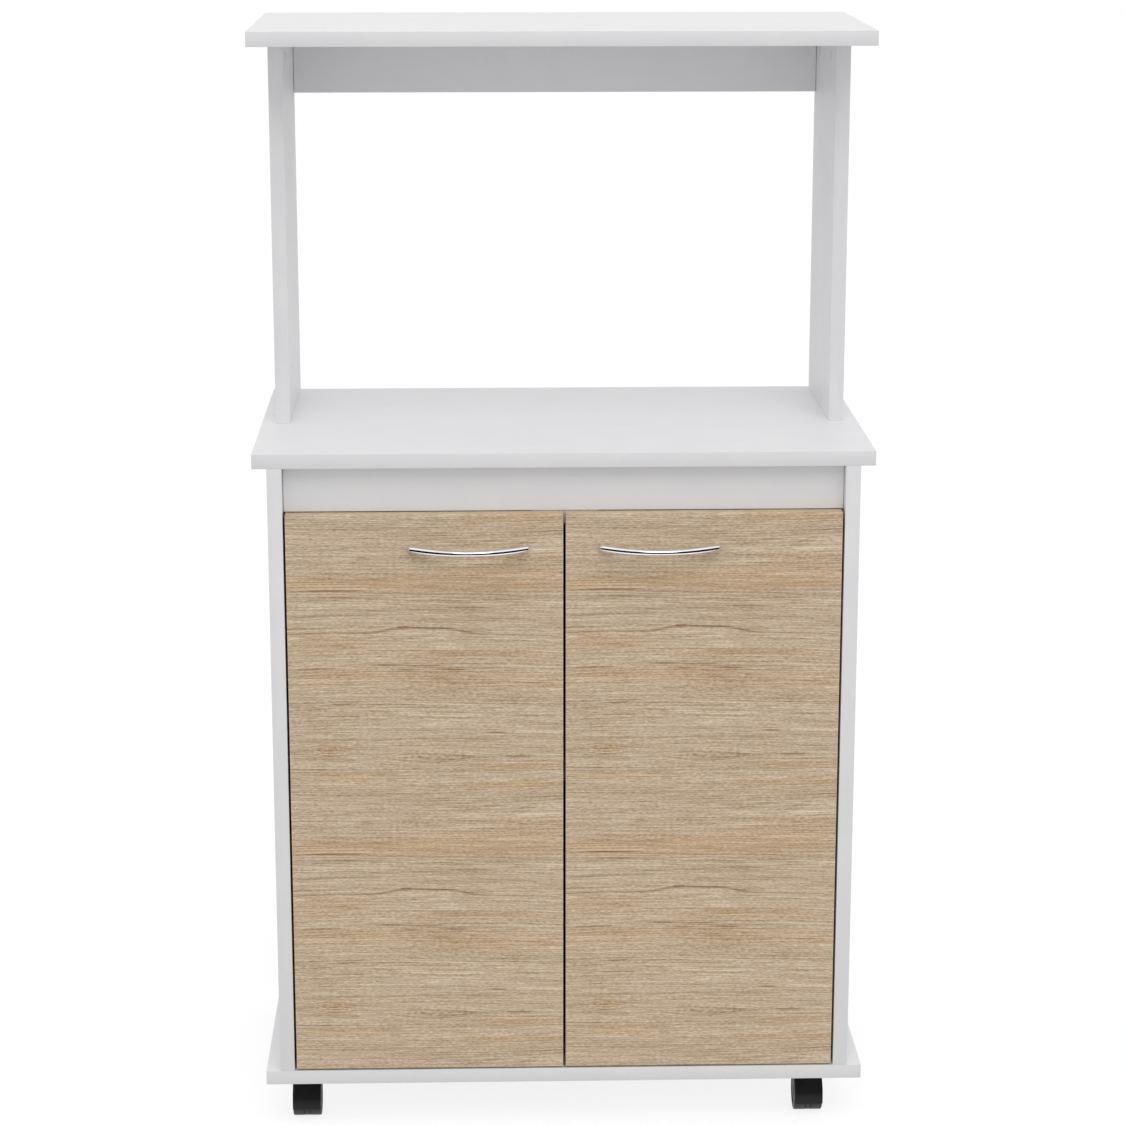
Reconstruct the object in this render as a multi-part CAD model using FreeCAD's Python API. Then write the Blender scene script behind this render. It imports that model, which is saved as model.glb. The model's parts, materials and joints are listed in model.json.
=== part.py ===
import FreeCAD, Part
import math
import os

# Kitchen microwave cabinet on four swivel casters: a two-door cupboard under a worktop,
# with an open microwave bay and a top shelf on two uprights.
# Millimetres. +X to the right, +Y to the back, +Z up. The doors face -Y.
# The origin is on the floor, at the middle of the object's own outline.

V = FreeCAD.Vector
RIGHT, BACK, UP = V(1, 0, 0), V(0, 1, 0), V(0, 0, 1)

# Boards and panels
board = 15.0
panel_width = 630.0
panel_overhang = 15.0
body_width = panel_width - 2 * panel_overhang
body_depth = 360.0
side_height = 650.0
upright_height = 400.0
upright_depth = 200.0
top_shelf_depth = 300.0
upper_rail_height = 70.0
front_rail_height = 47.6
back_sheet = 3.0

# Doors and their gaps
door_side_gap = 2.0
door_meeting_gap = 2.0
door_bottom_gap = 2.0
door_top_gap = 0.4
door_back_gap = 0.5

# Inner shelf on four pins
shelf_depth = 300.0
shelf_height = 300.0
shelf_end_gap = 1.5
shelf_pin_radius = 2.5
shelf_pin_reach = 9.0
shelf_pin_depth = 9.0
shelf_pin_collar_radius = 4.0
shelf_pin_collar = 1.0
shelf_pin_inset = 40.0

# Bow handles: an arc between two short legs
handle_chord = 116.2
handle_reach = 25.5
handle_leg = 1.5
handle_bend_radius = 5.0
handle_bar_thickness = 7.0
handle_bar_height = 6.0
handle_drop = 35.0
handle_from_meeting_edge = 96.0
handle_screw_radius = 2.0
handle_screw_grip = 4.5
handle_screw_head_radius = 4.0
handle_screw_head = 2.4

# Concealed hinges: a pin in a cup, with a goose-neck arm around the door's edge
hinge_from_door_end = 100.0
hinge_pin_from_edge = 20.0
hinge_pin_from_front = 8.0
hinge_pin_radius = 1.6
hinge_pin_end_setback = 0.4
hinge_cup_radius = 17.5
hinge_cup_depth = 11.5
hinge_cup_wall = 1.2
hinge_cup_floor = 0.8
hinge_cup_edge_margin = 5.0
hinge_flange = 1.2
hinge_flange_rim = 2.5
hinge_wing_spacing = 48.0
hinge_wing_width = 12.0
hinge_wing_offset = 6.0
hinge_eye_radius = 3.2
hinge_arm_width = 12.0
hinge_arm_thickness = 3.0
hinge_arm_clearance = 0.6
hinge_arm_start_angle = 32.0
hinge_arm_end_angle = 140.0
hinge_leg_thickness = 2.5
hinge_leg_back = 70.0
hinge_plate = 2.0
hinge_plate_width = 16.0
hinge_plate_length = 40.0
hinge_plate_wing_spacing = 32.0
hinge_plate_wing_end = 8.0
hinge_plate_wing_depth = 14.0
hinge_plate_screw_setback = 37.0
hinge_arm_screw_setback = 58.0

# Magnetic catch under the front rail
catch_width = 48.0
catch_height = 14.0
catch_depth = 13.5
catch_ear_width = 10.0
catch_ear_thickness = 5.0
catch_magnet_width = 14.0
catch_magnet_height = 9.0
catch_magnet_depth = 6.0
catch_magnet_offset = 12.0
strike_width = 18.0
strike_height = 11.0
strike_thickness = 1.2
strike_peg_radius = 2.0
strike_peg_depth = 8.0
catch_air_gap = 0.3

# Twin-wheel swivel casters
caster_height = 50.0
caster_trail = 16.0
caster_axle_setback = 37.5
caster_inset_left = 41.0
caster_inset_right = 53.0
wheel_radius = 20.0
wheel_width = 12.0
wheel_edge_round = 1.5
wheel_inner_round = 0.4
wheel_hub_dish = 0.8
wheel_hub_dish_radius = 13.0
wheel_cap_wall = 2.2
wheel_side_gap = 0.5
wheel_rim_gap = 0.8
caster_web = 5.0
caster_web_recess = 0.5
caster_hood = 2.2
caster_hood_start = -17.0
caster_hood_end = 130.0
caster_axle_radius = 2.5
caster_plate_size = 30.0
caster_plate = 2.0
caster_plate_corner = 3.0
caster_hole_spacing = 20.0
caster_head_gap = 0.4
caster_head_radius = 7.0
caster_head = 4.6
caster_boss_radius = 5.5
caster_boss_depth = 13.5
caster_pin_radius = 3.5
caster_pin_depth = 11.5

# Fasteners
fit_clearance = 0.1
running_clearance = 0.05
press_clearance = 0.02
confirmat_radius = 3.2
confirmat_head_radius = 5.0
confirmat_head = 3.0
confirmat_length = 50.0
confirmat_base_inset = 105.0
confirmat_upright_inset = 70.0
cam_radius = 7.4
cam_depth = 12.0
cam_distance = 24.0
cam_slot_width = 1.6
cam_slot_depth = 2.0
cam_bolt_radius = 3.0
cam_bolt_head_radius = 3.6
cam_bolt_thread = 11.0
cam_bolt_bore_radius = 3.9
cam_cap_radius = 9.0
cam_cap = 0.8
cam_inset = 50.0
dowel_radius = 4.0
dowel_length = 30.0
dowel_in_face = 10.0
dowel_end_room = 0.5
dowel_offset = 32.0
rail_cam_inset = 14.0
rail_dowel_inset = 12.0
nail_radius = 0.9
nail_length = 20.0
nail_head_radius = 2.2
nail_head = 0.9
nails_per_side = 6
nail_end_inset = 40.0
screw_radius = 1.7
screw_length = 12.0
screw_head_radius = 3.4
screw_head = 1.8
machine_screw_radius = 2.0
machine_screw_head_radius = 3.6
machine_screw_head = 1.8

# Places worked out from the sizes above
door_thickness = board
handle_projection = handle_reach + handle_bar_thickness / 2
y_back = (body_depth + handle_projection) / 2
y_front = y_back - body_depth
z_base = caster_height
z_floor_board = z_base + board
z_side_top = z_floor_board + side_height
z_worktop = z_side_top + board
z_upright_top = z_worktop + upright_height
z_top = z_upright_top + board
x_outer = body_width / 2
x_inner = x_outer - board
x_board_middle = x_outer - board / 2
x_panel_end = panel_width / 2
y_sheet = y_back - back_sheet
y_upright_front = y_back - upright_depth
y_front_rail = y_front + door_thickness + door_back_gap
z_front_rail = z_side_top - front_rail_height
z_upper_rail = z_upright_top - upper_rail_height
z_door_bottom = z_floor_board + door_bottom_gap
z_door_top = z_front_rail - door_top_gap
x_door_outer = x_inner - door_side_gap
x_door_meeting = door_meeting_gap / 2
z_shelf = z_floor_board + shelf_height
z_hinges = (z_door_bottom + hinge_from_door_end, z_door_top - hinge_from_door_end)
SIDES = {"left": -1, "right": 1}


# Basic shapes

def block(x0, x1, y0, y1, z0, z1):
    """A box between two values on each axis, given in either order."""
    corner = V(min(x0, x1), min(y0, y1), min(z0, z1))
    return Part.makeBox(abs(x1 - x0), abs(y1 - y0), abs(z1 - z0), corner)


def rod(radius, start, direction, length):
    """A round bar from a point along a direction."""
    return Part.makeCylinder(radius, length, start, direction)


def drilled(shape, holes):
    """The shape with all the holes cut from it."""
    return shape.cut(Part.makeCompound(holes))


def joined(shapes):
    """One clean solid from overlapping shapes."""
    return shapes[0].fuse(shapes[1:]).removeSplitter()


def ring_sector(point, inner, outer, start, end, sweep):
    """A ring sector from a function of radius and angle, made solid along the sweep."""
    middle = (start + end) / 2
    edges = [Part.Arc(point(outer, start), point(outer, middle), point(outer, end)).toShape(),
             Part.makeLine(point(outer, end), point(inner, end)),
             Part.Arc(point(inner, end), point(inner, middle), point(inner, start)).toShape(),
             Part.makeLine(point(inner, start), point(outer, start))]
    return Part.Face(Part.Wire(edges)).extrude(sweep)


def mirrored(shape):
    """The shape on the other side of the cabinet's middle plane."""
    return shape.mirror(V(0, 0, 0), RIGHT)


def on_side(shape, side):
    """A shape made for the left, turned over for the right."""
    return shape if side == "left" else mirrored(shape)


def save(node, shapes):
    """Writes one solid, or a group of separate solids, as a node."""
    shape = Part.makeCompound(shapes) if isinstance(shapes, list) else shapes
    shape.exportStep(os.path.join("parts", node + ".step"))


# Fasteners, each as a solid and as the hole that takes it

def headed_pin(radius, length, head_radius, head, start, direction):
    """A pin with a round head that starts at the head's outer face."""
    return joined([rod(head_radius, start, direction, head), rod(radius, start, direction, length)])


def confirmat(start, extra=0.0):
    """A panel screw that stands upright, with its head at the bottom."""
    return headed_pin(confirmat_radius + extra, confirmat_length + 2 * extra, confirmat_head_radius + extra,
                      confirmat_head + extra, start, UP)


def wood_screw(seat, direction, length, extra=0.0):
    """A pan-head screw that is driven along a direction, with its head on the seat."""
    head = rod(screw_head_radius, seat - direction * screw_head, direction, screw_head)
    shank = rod(screw_radius + extra, seat, direction, length + extra)
    return shank if extra else joined([head, shank])


class CamJoint:
    """A cam, its bolt and their holes, where a panel's edge meets another panel's face."""

    def __init__(self, at, into_edge, opening):
        centre = at + into_edge * cam_distance
        cam_mouth = centre + opening * (board / 2)
        self.bolt = joined([
            rod(cam_bolt_radius, at - into_edge * cam_bolt_thread, into_edge, cam_bolt_thread + cam_distance),
            rod(cam_bolt_head_radius, centre - into_edge * cam_bolt_radius, into_edge, cam_bolt_radius)])
        head_room = rod(cam_bolt_head_radius + fit_clearance, centre - into_edge * 2 * cam_radius, into_edge,
                        2 * cam_radius + fit_clearance)
        slot_length = 2 * cam_radius - cam_slot_width
        across = into_edge.cross(opening)
        slot_corner = cam_mouth - opening * cam_slot_depth
        slots = [self.bar(slot_corner, along, slot_length, cam_slot_width, opening, cam_slot_depth)
                 for along in (into_edge, across)]
        self.cam = drilled(rod(cam_radius, cam_mouth, opening * -1, cam_depth), [head_room] + slots)
        thread_room = cam_bolt_thread + fit_clearance
        thread_end = at - into_edge * thread_room
        self.face_hole = rod(cam_bolt_radius + fit_clearance, thread_end, into_edge, thread_room)
        self.edge_holes = [
            rod(cam_radius + fit_clearance, cam_mouth, opening * -1, cam_depth + fit_clearance),
            rod(cam_bolt_bore_radius, at, into_edge, cam_distance)]
        self.cap = rod(cam_cap_radius, cam_mouth, opening, cam_cap)

    @staticmethod
    def bar(middle, along, length, width, up, height):
        """A box that lies centred along a direction."""
        across = along.cross(up)
        corner = middle - along * (length / 2) - across * (width / 2)
        base = Part.makePolygon([corner, corner + along * length, corner + along * length + across * width,
                                 corner + across * width, corner])
        return Part.Face(base).extrude(up * height)


class DowelJoint:
    """A wooden dowel and its two blind holes."""

    def __init__(self, at, into_edge):
        start = at - into_edge * dowel_in_face
        in_edge = dowel_length - dowel_in_face
        hole_radius = dowel_radius + fit_clearance
        self.dowel = rod(dowel_radius, start, into_edge, dowel_length)
        self.face_hole = rod(hole_radius, start - into_edge * dowel_end_room, into_edge,
                             dowel_in_face + dowel_end_room)
        self.edge_holes = [rod(hole_radius, at, into_edge, in_edge + dowel_end_room)]


# Where the boards are joined

def worktop_joints(sign):
    """Cams and dowels between one side panel's top edge and the worktop."""
    inward = RIGHT * -sign
    ends = ((y_front + cam_inset, 1), (y_sheet - cam_inset, -1))
    cams = [CamJoint(V(sign * x_board_middle, y, z_side_top), UP * -1, inward) for y, step in ends]
    dowels = [DowelJoint(V(sign * x_board_middle, y + step * dowel_offset, z_side_top), UP * -1)
              for y, step in ends]
    return cams, dowels


def top_shelf_joints(sign):
    """Cams and dowels between one upright's top edge and the top shelf."""
    inward = RIGHT * -sign
    ends = (y_upright_front + cam_inset, y_back - cam_inset)
    cams = [CamJoint(V(sign * x_board_middle, y, z_upright_top), UP * -1, inward) for y in ends]
    dowels = [DowelJoint(V(sign * x_board_middle, y - dowel_offset, z_upright_top), UP * -1) for y in ends]
    return cams, dowels


def rail_joints(sign, y_face, z_low, height):
    """A cam and a dowel between one end of a rail and the panel beside it."""
    inward = RIGHT * -sign
    y = y_face + board / 2
    cam = CamJoint(V(sign * x_inner, y, z_low + height - rail_cam_inset), inward, BACK)
    dowel = DowelJoint(V(sign * x_inner, y, z_low + rail_dowel_inset), inward)
    return [cam], [dowel]


def upper_rail_joints(sign):
    """The joint at one end of the rail under the top shelf."""
    return rail_joints(sign, y_back - board, z_upper_rail, upper_rail_height)


def front_rail_joints(sign):
    """The joint at one end of the rail over the doors."""
    return rail_joints(sign, y_front_rail, z_front_rail, front_rail_height)


JOINTS = {name: {sign: make(sign) for sign in SIDES.values()}
          for name, make in (("worktop", worktop_joints), ("top_shelf", top_shelf_joints),
                             ("upper_rail", upper_rail_joints), ("front_rail", front_rail_joints))}


def joint_parts(name, signs=tuple(SIDES.values())):
    """All the cams and dowels of one kind of joint."""
    cams = [cam for sign in signs for cam in JOINTS[name][sign][0]]
    dowels = [dowel for sign in signs for dowel in JOINTS[name][sign][1]]
    return cams, dowels


def face_holes(name, signs=tuple(SIDES.values())):
    """The holes of one kind of joint in the panel whose face is met."""
    cams, dowels = joint_parts(name, signs)
    return [part.face_hole for part in cams + dowels]


def edge_holes(name, signs=tuple(SIDES.values())):
    """The holes of one kind of joint in the panel whose edge is met."""
    cams, dowels = joint_parts(name, signs)
    return [hole for part in cams + dowels for hole in part.edge_holes]


def base_screw_starts():
    """Screws through the base into the side panels' lower edges."""
    ends = (y_front + confirmat_base_inset, (y_front + y_back) / 2, y_back - confirmat_base_inset)
    return [V(sign * x_board_middle, y, z_base) for sign in SIDES.values() for y in ends]


def upright_screw_starts():
    """Screws through the worktop into the uprights' lower edges."""
    ends = (y_upright_front + confirmat_upright_inset, y_back - confirmat_upright_inset)
    return [V(sign * x_board_middle, y, z_side_top) for sign in SIDES.values() for y in ends]


def nail_starts(sign):
    """Nails through the back sheet into one side panel's rear edge."""
    first = z_floor_board + nail_end_inset
    step = (side_height - 2 * nail_end_inset) / (nails_per_side - 1)
    return [V(sign * x_board_middle, y_back, first + step * i) for i in range(nails_per_side)]


def nail(start, extra=0.0):
    """A flat-headed nail driven in from the back."""
    return headed_pin(nail_radius + extra, nail_length + extra, nail_head_radius + extra, nail_head + extra,
                      start, BACK * -1)


def shelf_pin_places(sign):
    """Points on one side panel's inner face that carry the inner shelf."""
    y_rear = y_sheet - shelf_pin_inset
    y_fore = y_sheet - shelf_depth + shelf_pin_inset
    return [V(sign * x_inner, y, z_shelf - shelf_pin_radius) for y in (y_fore, y_rear)]


def shelf_pin(place, sign):
    """A pin with a collar against the side panel."""
    inward = RIGHT * -sign
    pin = rod(shelf_pin_radius, place - inward * shelf_pin_depth, inward, shelf_pin_depth + shelf_pin_reach)
    return joined([pin, rod(shelf_pin_collar_radius, place, inward, shelf_pin_collar)])


def shelf_pin_hole(place, sign):
    """The blind hole of one shelf pin."""
    inward = RIGHT * -sign
    depth = shelf_pin_depth + fit_clearance
    return rod(shelf_pin_radius + fit_clearance, place - inward * depth, inward, depth)


# Hinges, made for the left door around the hinge pin

class Hinge:
    """One concealed hinge of the left door, at one height."""

    def __init__(self, height):
        self.z = height
        self.x_edge = -x_door_outer
        self.pin = V(self.x_edge + hinge_pin_from_edge, y_front + hinge_pin_from_front, height)
        self.x_cup = self.x_edge + hinge_cup_edge_margin + hinge_cup_radius
        self.y_door_back = y_front + door_thickness
        self.y_cup_bottom = self.y_door_back - hinge_cup_depth
        self.y_flange = self.y_door_back + hinge_flange
        corner = max(hinge_pin_from_front, door_thickness - hinge_pin_from_front)
        self.swing = math.hypot(hinge_pin_from_edge, corner) + hinge_arm_clearance

    def cup_screw_seats(self):
        """The two points on the cup's flange where its screws sit."""
        x = self.x_cup + hinge_wing_offset
        return [V(x, self.y_flange, self.z + dz) for dz in (-hinge_wing_spacing / 2, hinge_wing_spacing / 2)]

    def cup_screws(self, extra=0.0):
        """The screws that hold the cup in the door."""
        return [wood_screw(seat, BACK * -1, screw_length, extra) for seat in self.cup_screw_seats()]

    def door_cuts(self):
        """The cup's bore and its screw holes in the door."""
        bore = rod(hinge_cup_radius + fit_clearance, V(self.x_cup, self.y_cup_bottom - fit_clearance, self.z),
                   BACK, hinge_cup_depth + fit_clearance)
        return [bore] + self.cup_screws(fit_clearance)

    def cup_pin(self, extra=0.0):
        """The hinge pin, held at both ends in the cup's wall."""
        offset = self.pin.x - self.x_cup
        half = math.sqrt((hinge_cup_radius - hinge_pin_end_setback) ** 2 - offset ** 2) + extra
        return rod(hinge_pin_radius + extra, self.pin - UP * half, UP, 2 * half)

    def cup(self):
        """The cup with its flange and screw wings."""
        cavity_radius = hinge_cup_radius - hinge_cup_wall
        shell = rod(hinge_cup_radius, V(self.x_cup, self.y_cup_bottom, self.z), BACK,
                    hinge_cup_depth + hinge_flange)
        mouth = V(self.x_cup, self.y_door_back, self.z)
        rim = rod(hinge_cup_radius + hinge_flange_rim, mouth, BACK, hinge_flange)
        half = hinge_wing_width / 2
        x_wing = self.x_cup + hinge_wing_offset
        seats = self.cup_screw_seats()
        wings = [block(x_wing - half, x_wing + half, self.y_door_back, self.y_flange, seats[0].z, seats[1].z)]
        wings += [rod(half, seat - BACK * hinge_flange, BACK, hinge_flange) for seat in seats]
        cavity = rod(cavity_radius, V(self.x_cup, self.y_cup_bottom + hinge_cup_floor, self.z), BACK,
                     hinge_cup_depth + hinge_flange)
        cuts = [cavity, self.cup_pin(press_clearance)] + self.cup_screws(fit_clearance)
        return drilled(joined([shell, rim] + wings), cuts)

    def plate_screw_seats(self):
        """The two points on the mounting plate where its screws sit."""
        y = y_front + hinge_plate_screw_setback
        half = hinge_plate_wing_spacing / 2
        return [V(-x_inner + hinge_plate, y, self.z + dz) for dz in (-half, half)]

    def plate_screws(self, extra=0.0):
        """The screws that hold the mounting plate to the side panel."""
        return [wood_screw(seat, RIGHT * -1, screw_length, extra) for seat in self.plate_screw_seats()]

    def arm_screw(self, extra=0.0):
        """The machine screw that clamps the arm to its plate."""
        seat = V(-x_inner + hinge_plate + hinge_leg_thickness, y_front + hinge_arm_screw_setback, self.z)
        length = hinge_plate + hinge_leg_thickness
        shank = rod(machine_screw_radius + extra, seat, RIGHT * -1, length)
        if extra:
            return shank
        head = rod(machine_screw_head_radius, seat, RIGHT, machine_screw_head)
        return joined([head, shank])

    def plate(self):
        """The cross-shaped mounting plate on the side panel."""
        x0, x1 = -x_inner, -x_inner + hinge_plate
        y_rear = y_front + hinge_leg_back
        half = hinge_plate_width / 2
        spine = block(x0, x1, y_rear - hinge_plate_length, y_rear, self.z - half, self.z + half)
        y_wing = y_front + hinge_plate_screw_setback
        reach = hinge_plate_wing_spacing / 2 + hinge_plate_wing_end
        wing = block(x0, x1, y_wing - hinge_plate_wing_depth / 2, y_wing + hinge_plate_wing_depth / 2,
                     self.z - reach, self.z + reach)
        holes = self.plate_screws(fit_clearance) + [self.arm_screw(fit_clearance)]
        return drilled(joined([spine, wing]), holes)

    def sector(self, inner, outer, start, end):
        """A flat ring sector around the pin, as wide as the arm, with angles from +X towards +Y."""

        def point(radius, angle):
            turn = math.radians(angle)
            return V(self.pin.x + radius * math.cos(turn), self.pin.y + radius * math.sin(turn),
                     self.z - hinge_arm_width / 2)

        return ring_sector(point, inner, outer, start, end, UP * hinge_arm_width)

    def arm(self):
        """The goose-neck arm, from its eye on the pin to its leg on the plate."""
        half = hinge_arm_width / 2
        outer = self.swing + hinge_arm_thickness
        low = self.pin - UP * half
        eye = rod(hinge_eye_radius, low, UP, hinge_arm_width)
        neck_corner = low - BACK * (hinge_arm_thickness / 2)
        neck = Part.makeBox(outer, hinge_arm_thickness, hinge_arm_width, neck_corner)
        neck.rotate(self.pin, UP, hinge_arm_start_angle)
        rounding = rod(outer, low, UP, hinge_arm_width)
        bend = self.sector(self.swing, outer, hinge_arm_start_angle, hinge_arm_end_angle)
        x_leg = -x_inner + hinge_plate
        y_bend_end = self.pin.y + outer * math.sin(math.radians(hinge_arm_end_angle))
        leg = block(x_leg, x_leg + hinge_leg_thickness, y_bend_end - hinge_arm_thickness / 2,
                    y_front + hinge_leg_back, self.z - half, self.z + half)
        bore = rod(hinge_pin_radius + running_clearance, low, UP, hinge_arm_width)
        return drilled(joined([eye, neck.common(rounding), bend, leg]), [bore, self.arm_screw(fit_clearance)])


HINGES = [Hinge(height) for height in z_hinges]


# Panels

def base_panel():
    """The bottom board, with the panel screws' and caster screws' holes."""
    panel = block(-x_panel_end, x_panel_end, y_front, y_back, z_base, z_floor_board)
    holes = [confirmat(start, fit_clearance) for start in base_screw_starts()]
    holes += [screw for caster in CASTERS for screw in caster.screws(fit_clearance)]
    return drilled(panel, holes)


def side_panel(side):
    """One side of the cupboard."""
    sign = SIDES[side]
    panel = block(sign * x_inner, sign * x_outer, y_front, y_sheet, z_floor_board, z_side_top)
    holes = edge_holes("worktop", [sign]) + face_holes("front_rail", [sign])
    holes += [confirmat(start, fit_clearance) for start in base_screw_starts()]
    holes += [shelf_pin_hole(place, sign) for place in shelf_pin_places(sign)]
    holes += [nail(start, fit_clearance) for start in nail_starts(sign)]
    holes += [on_side(screw, side) for hinge in HINGES for screw in hinge.plate_screws(fit_clearance)]
    return drilled(panel, holes)


def worktop():
    """The board over the cupboard, on which the microwave stands."""
    panel = block(-x_panel_end, x_panel_end, y_front, y_back, z_side_top, z_worktop)
    holes = face_holes("worktop") + [confirmat(start, fit_clearance) for start in upright_screw_starts()]
    return drilled(panel, holes)


def upright(side):
    """One of the two boards that carry the top shelf."""
    sign = SIDES[side]
    panel = block(sign * x_inner, sign * x_outer, y_upright_front, y_back, z_worktop, z_upright_top)
    holes = edge_holes("top_shelf", [sign]) + face_holes("upper_rail", [sign])
    holes += [confirmat(start, fit_clearance) for start in upright_screw_starts()]
    return drilled(panel, holes)


def top_shelf():
    """The open shelf at the top."""
    panel = block(-x_panel_end, x_panel_end, y_back - top_shelf_depth, y_back, z_upright_top, z_top)
    return drilled(panel, face_holes("top_shelf"))


def upper_rail():
    """The stiffening rail between the uprights, under the top shelf."""
    panel = block(-x_inner, x_inner, y_back - board, y_back, z_upper_rail, z_upright_top)
    return drilled(panel, edge_holes("upper_rail"))


def front_rail():
    """The rail over the doors."""
    panel = block(-x_inner, x_inner, y_front_rail, y_front_rail + board, z_front_rail, z_side_top)
    return drilled(panel, edge_holes("front_rail") + catch_screws(fit_clearance))


def back_panel():
    """The thin sheet that closes the back of the cupboard."""
    panel = block(-x_outer, x_outer, y_sheet, y_back, z_floor_board, z_side_top)
    starts = [start for sign in SIDES.values() for start in nail_starts(sign)]
    return drilled(panel, [nail(start, fit_clearance) for start in starts])


def inner_shelf():
    """The loose shelf inside the cupboard."""
    x_end = x_inner - shelf_end_gap
    return block(-x_end, x_end, y_sheet - shelf_depth, y_sheet, z_shelf, z_shelf + board)


# Doors

def door(side):
    """One flush inset door, with its hinge bores and drilled handle holes, made for the left."""
    y_rear = y_front + door_thickness
    panel = block(-x_door_outer, -x_door_meeting, y_front, y_rear, z_door_bottom, z_door_top)
    holes = [cut for hinge in HINGES for cut in hinge.door_cuts()]
    holes += handle_screws(fit_clearance) + [strike_peg(fit_clearance)]
    return on_side(drilled(panel, holes), side)


def handle_middle():
    """The middle of the left handle's feet, on the door's face."""
    return V(-x_door_meeting - handle_from_meeting_edge, y_front, z_door_top - handle_drop)


def handle_path():
    """The line along the middle of the left handle: leg, bend, arc, bend and leg."""
    bend_x = handle_chord / 2 - handle_bend_radius
    rise = handle_reach - handle_leg
    arc_radius = (bend_x ** 2 + rise ** 2 - handle_bend_radius ** 2) / (2 * (rise - handle_bend_radius))
    bend_turn = math.atan2(arc_radius - rise, bend_x)

    def bend_point(sign, angle):
        across = bend_x + handle_bend_radius * math.cos(angle)
        out = handle_leg + handle_bend_radius * math.sin(angle)
        return handle_middle() + V(sign * across, -out, 0)

    def leg_and_bend(sign):
        foot = handle_middle() + RIGHT * (sign * handle_chord / 2)
        leg = Part.makeLine(foot, bend_point(sign, 0.0))
        bend = Part.Arc(bend_point(sign, 0.0), bend_point(sign, bend_turn / 2), bend_point(sign, bend_turn))
        return [leg, bend.toShape()]

    crown = handle_middle() - BACK * handle_reach
    arc = Part.Arc(bend_point(-1, bend_turn), crown, bend_point(1, bend_turn))
    return Part.Wire(leg_and_bend(-1) + [arc.toShape()] + leg_and_bend(1)[::-1])


def handle():
    """The left door's bow handle: an oval bar with a tapped hole in each leg."""
    foot = handle_middle() - RIGHT * (handle_chord / 2)
    oval = Part.Ellipse(foot + RIGHT * (handle_bar_thickness / 2), foot + UP * (handle_bar_height / 2), foot)
    bar = handle_path().makePipeShell([Part.Wire(oval.toShape())], True, False)
    return drilled(bar, handle_screws(fit_clearance))


def handle_screws(extra=0.0):
    """The two screws through the left door into its handle."""
    screws = []
    for sign in SIDES.values():
        seat = handle_middle() + V(sign * handle_chord / 2, door_thickness, 0)
        shank = rod(handle_screw_radius + extra, seat, BACK * -1, door_thickness + handle_screw_grip + extra)
        head = rod(handle_screw_head_radius, seat, BACK, handle_screw_head)
        screws.append(shank if extra else joined([head, shank]))
    return screws


# Magnetic catch and strike plates

def catch_bounds():
    """The front and the lower face of the catch."""
    y_fore = y_front + door_thickness + strike_thickness + catch_air_gap
    return y_fore, z_front_rail - catch_height


def catch_magnets(extra=0.0):
    """The two magnets in the front of the catch."""
    y_fore, z_low = catch_bounds()
    z_middle = z_low + catch_height / 2
    half_width = catch_magnet_width / 2 + extra
    half_height = catch_magnet_height / 2 + extra
    return [block(sign * catch_magnet_offset - half_width, sign * catch_magnet_offset + half_width,
                  y_fore, y_fore + catch_magnet_depth + extra, z_middle - half_height, z_middle + half_height)
            for sign in SIDES.values()]


def catch_screws(extra=0.0):
    """The screws that hold the catch's ears under the front rail."""
    y_fore, _ = catch_bounds()
    x = catch_width / 2 + catch_ear_width / 2
    length = catch_ear_thickness + screw_length
    y = y_fore + catch_depth / 2
    z = z_front_rail - catch_ear_thickness
    return [wood_screw(V(sign * x, y, z), UP, length, extra) for sign in SIDES.values()]


def magnetic_catch():
    """The catch's housing, for both doors."""
    y_fore, z_low = catch_bounds()
    y_rear = y_fore + catch_depth
    x_body = catch_width / 2
    x_ear = x_body + catch_ear_width
    body = block(-x_body, x_body, y_fore, y_rear, z_low, z_front_rail)
    ears = block(-x_ear, x_ear, y_fore, y_rear, z_front_rail - catch_ear_thickness, z_front_rail)
    return drilled(joined([body, ears]), catch_magnets(press_clearance) + catch_screws(fit_clearance))


def strike_peg(extra=0.0):
    """The peg that holds the left strike plate in its door."""
    _, z_low = catch_bounds()
    middle = V(-catch_magnet_offset, y_front + door_thickness, z_low + catch_height / 2)
    return rod(strike_peg_radius + extra, middle, BACK * -1, strike_peg_depth + extra)


def strike_plate():
    """The steel plate on the left door that meets the magnet."""
    _, z_low = catch_bounds()
    z_middle = z_low + catch_height / 2
    y = y_front + door_thickness
    plate = block(-catch_magnet_offset - strike_width / 2, -catch_magnet_offset + strike_width / 2,
                  y, y + strike_thickness, z_middle - strike_height / 2, z_middle + strike_height / 2)
    return joined([plate, strike_peg()])


# Casters

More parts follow.
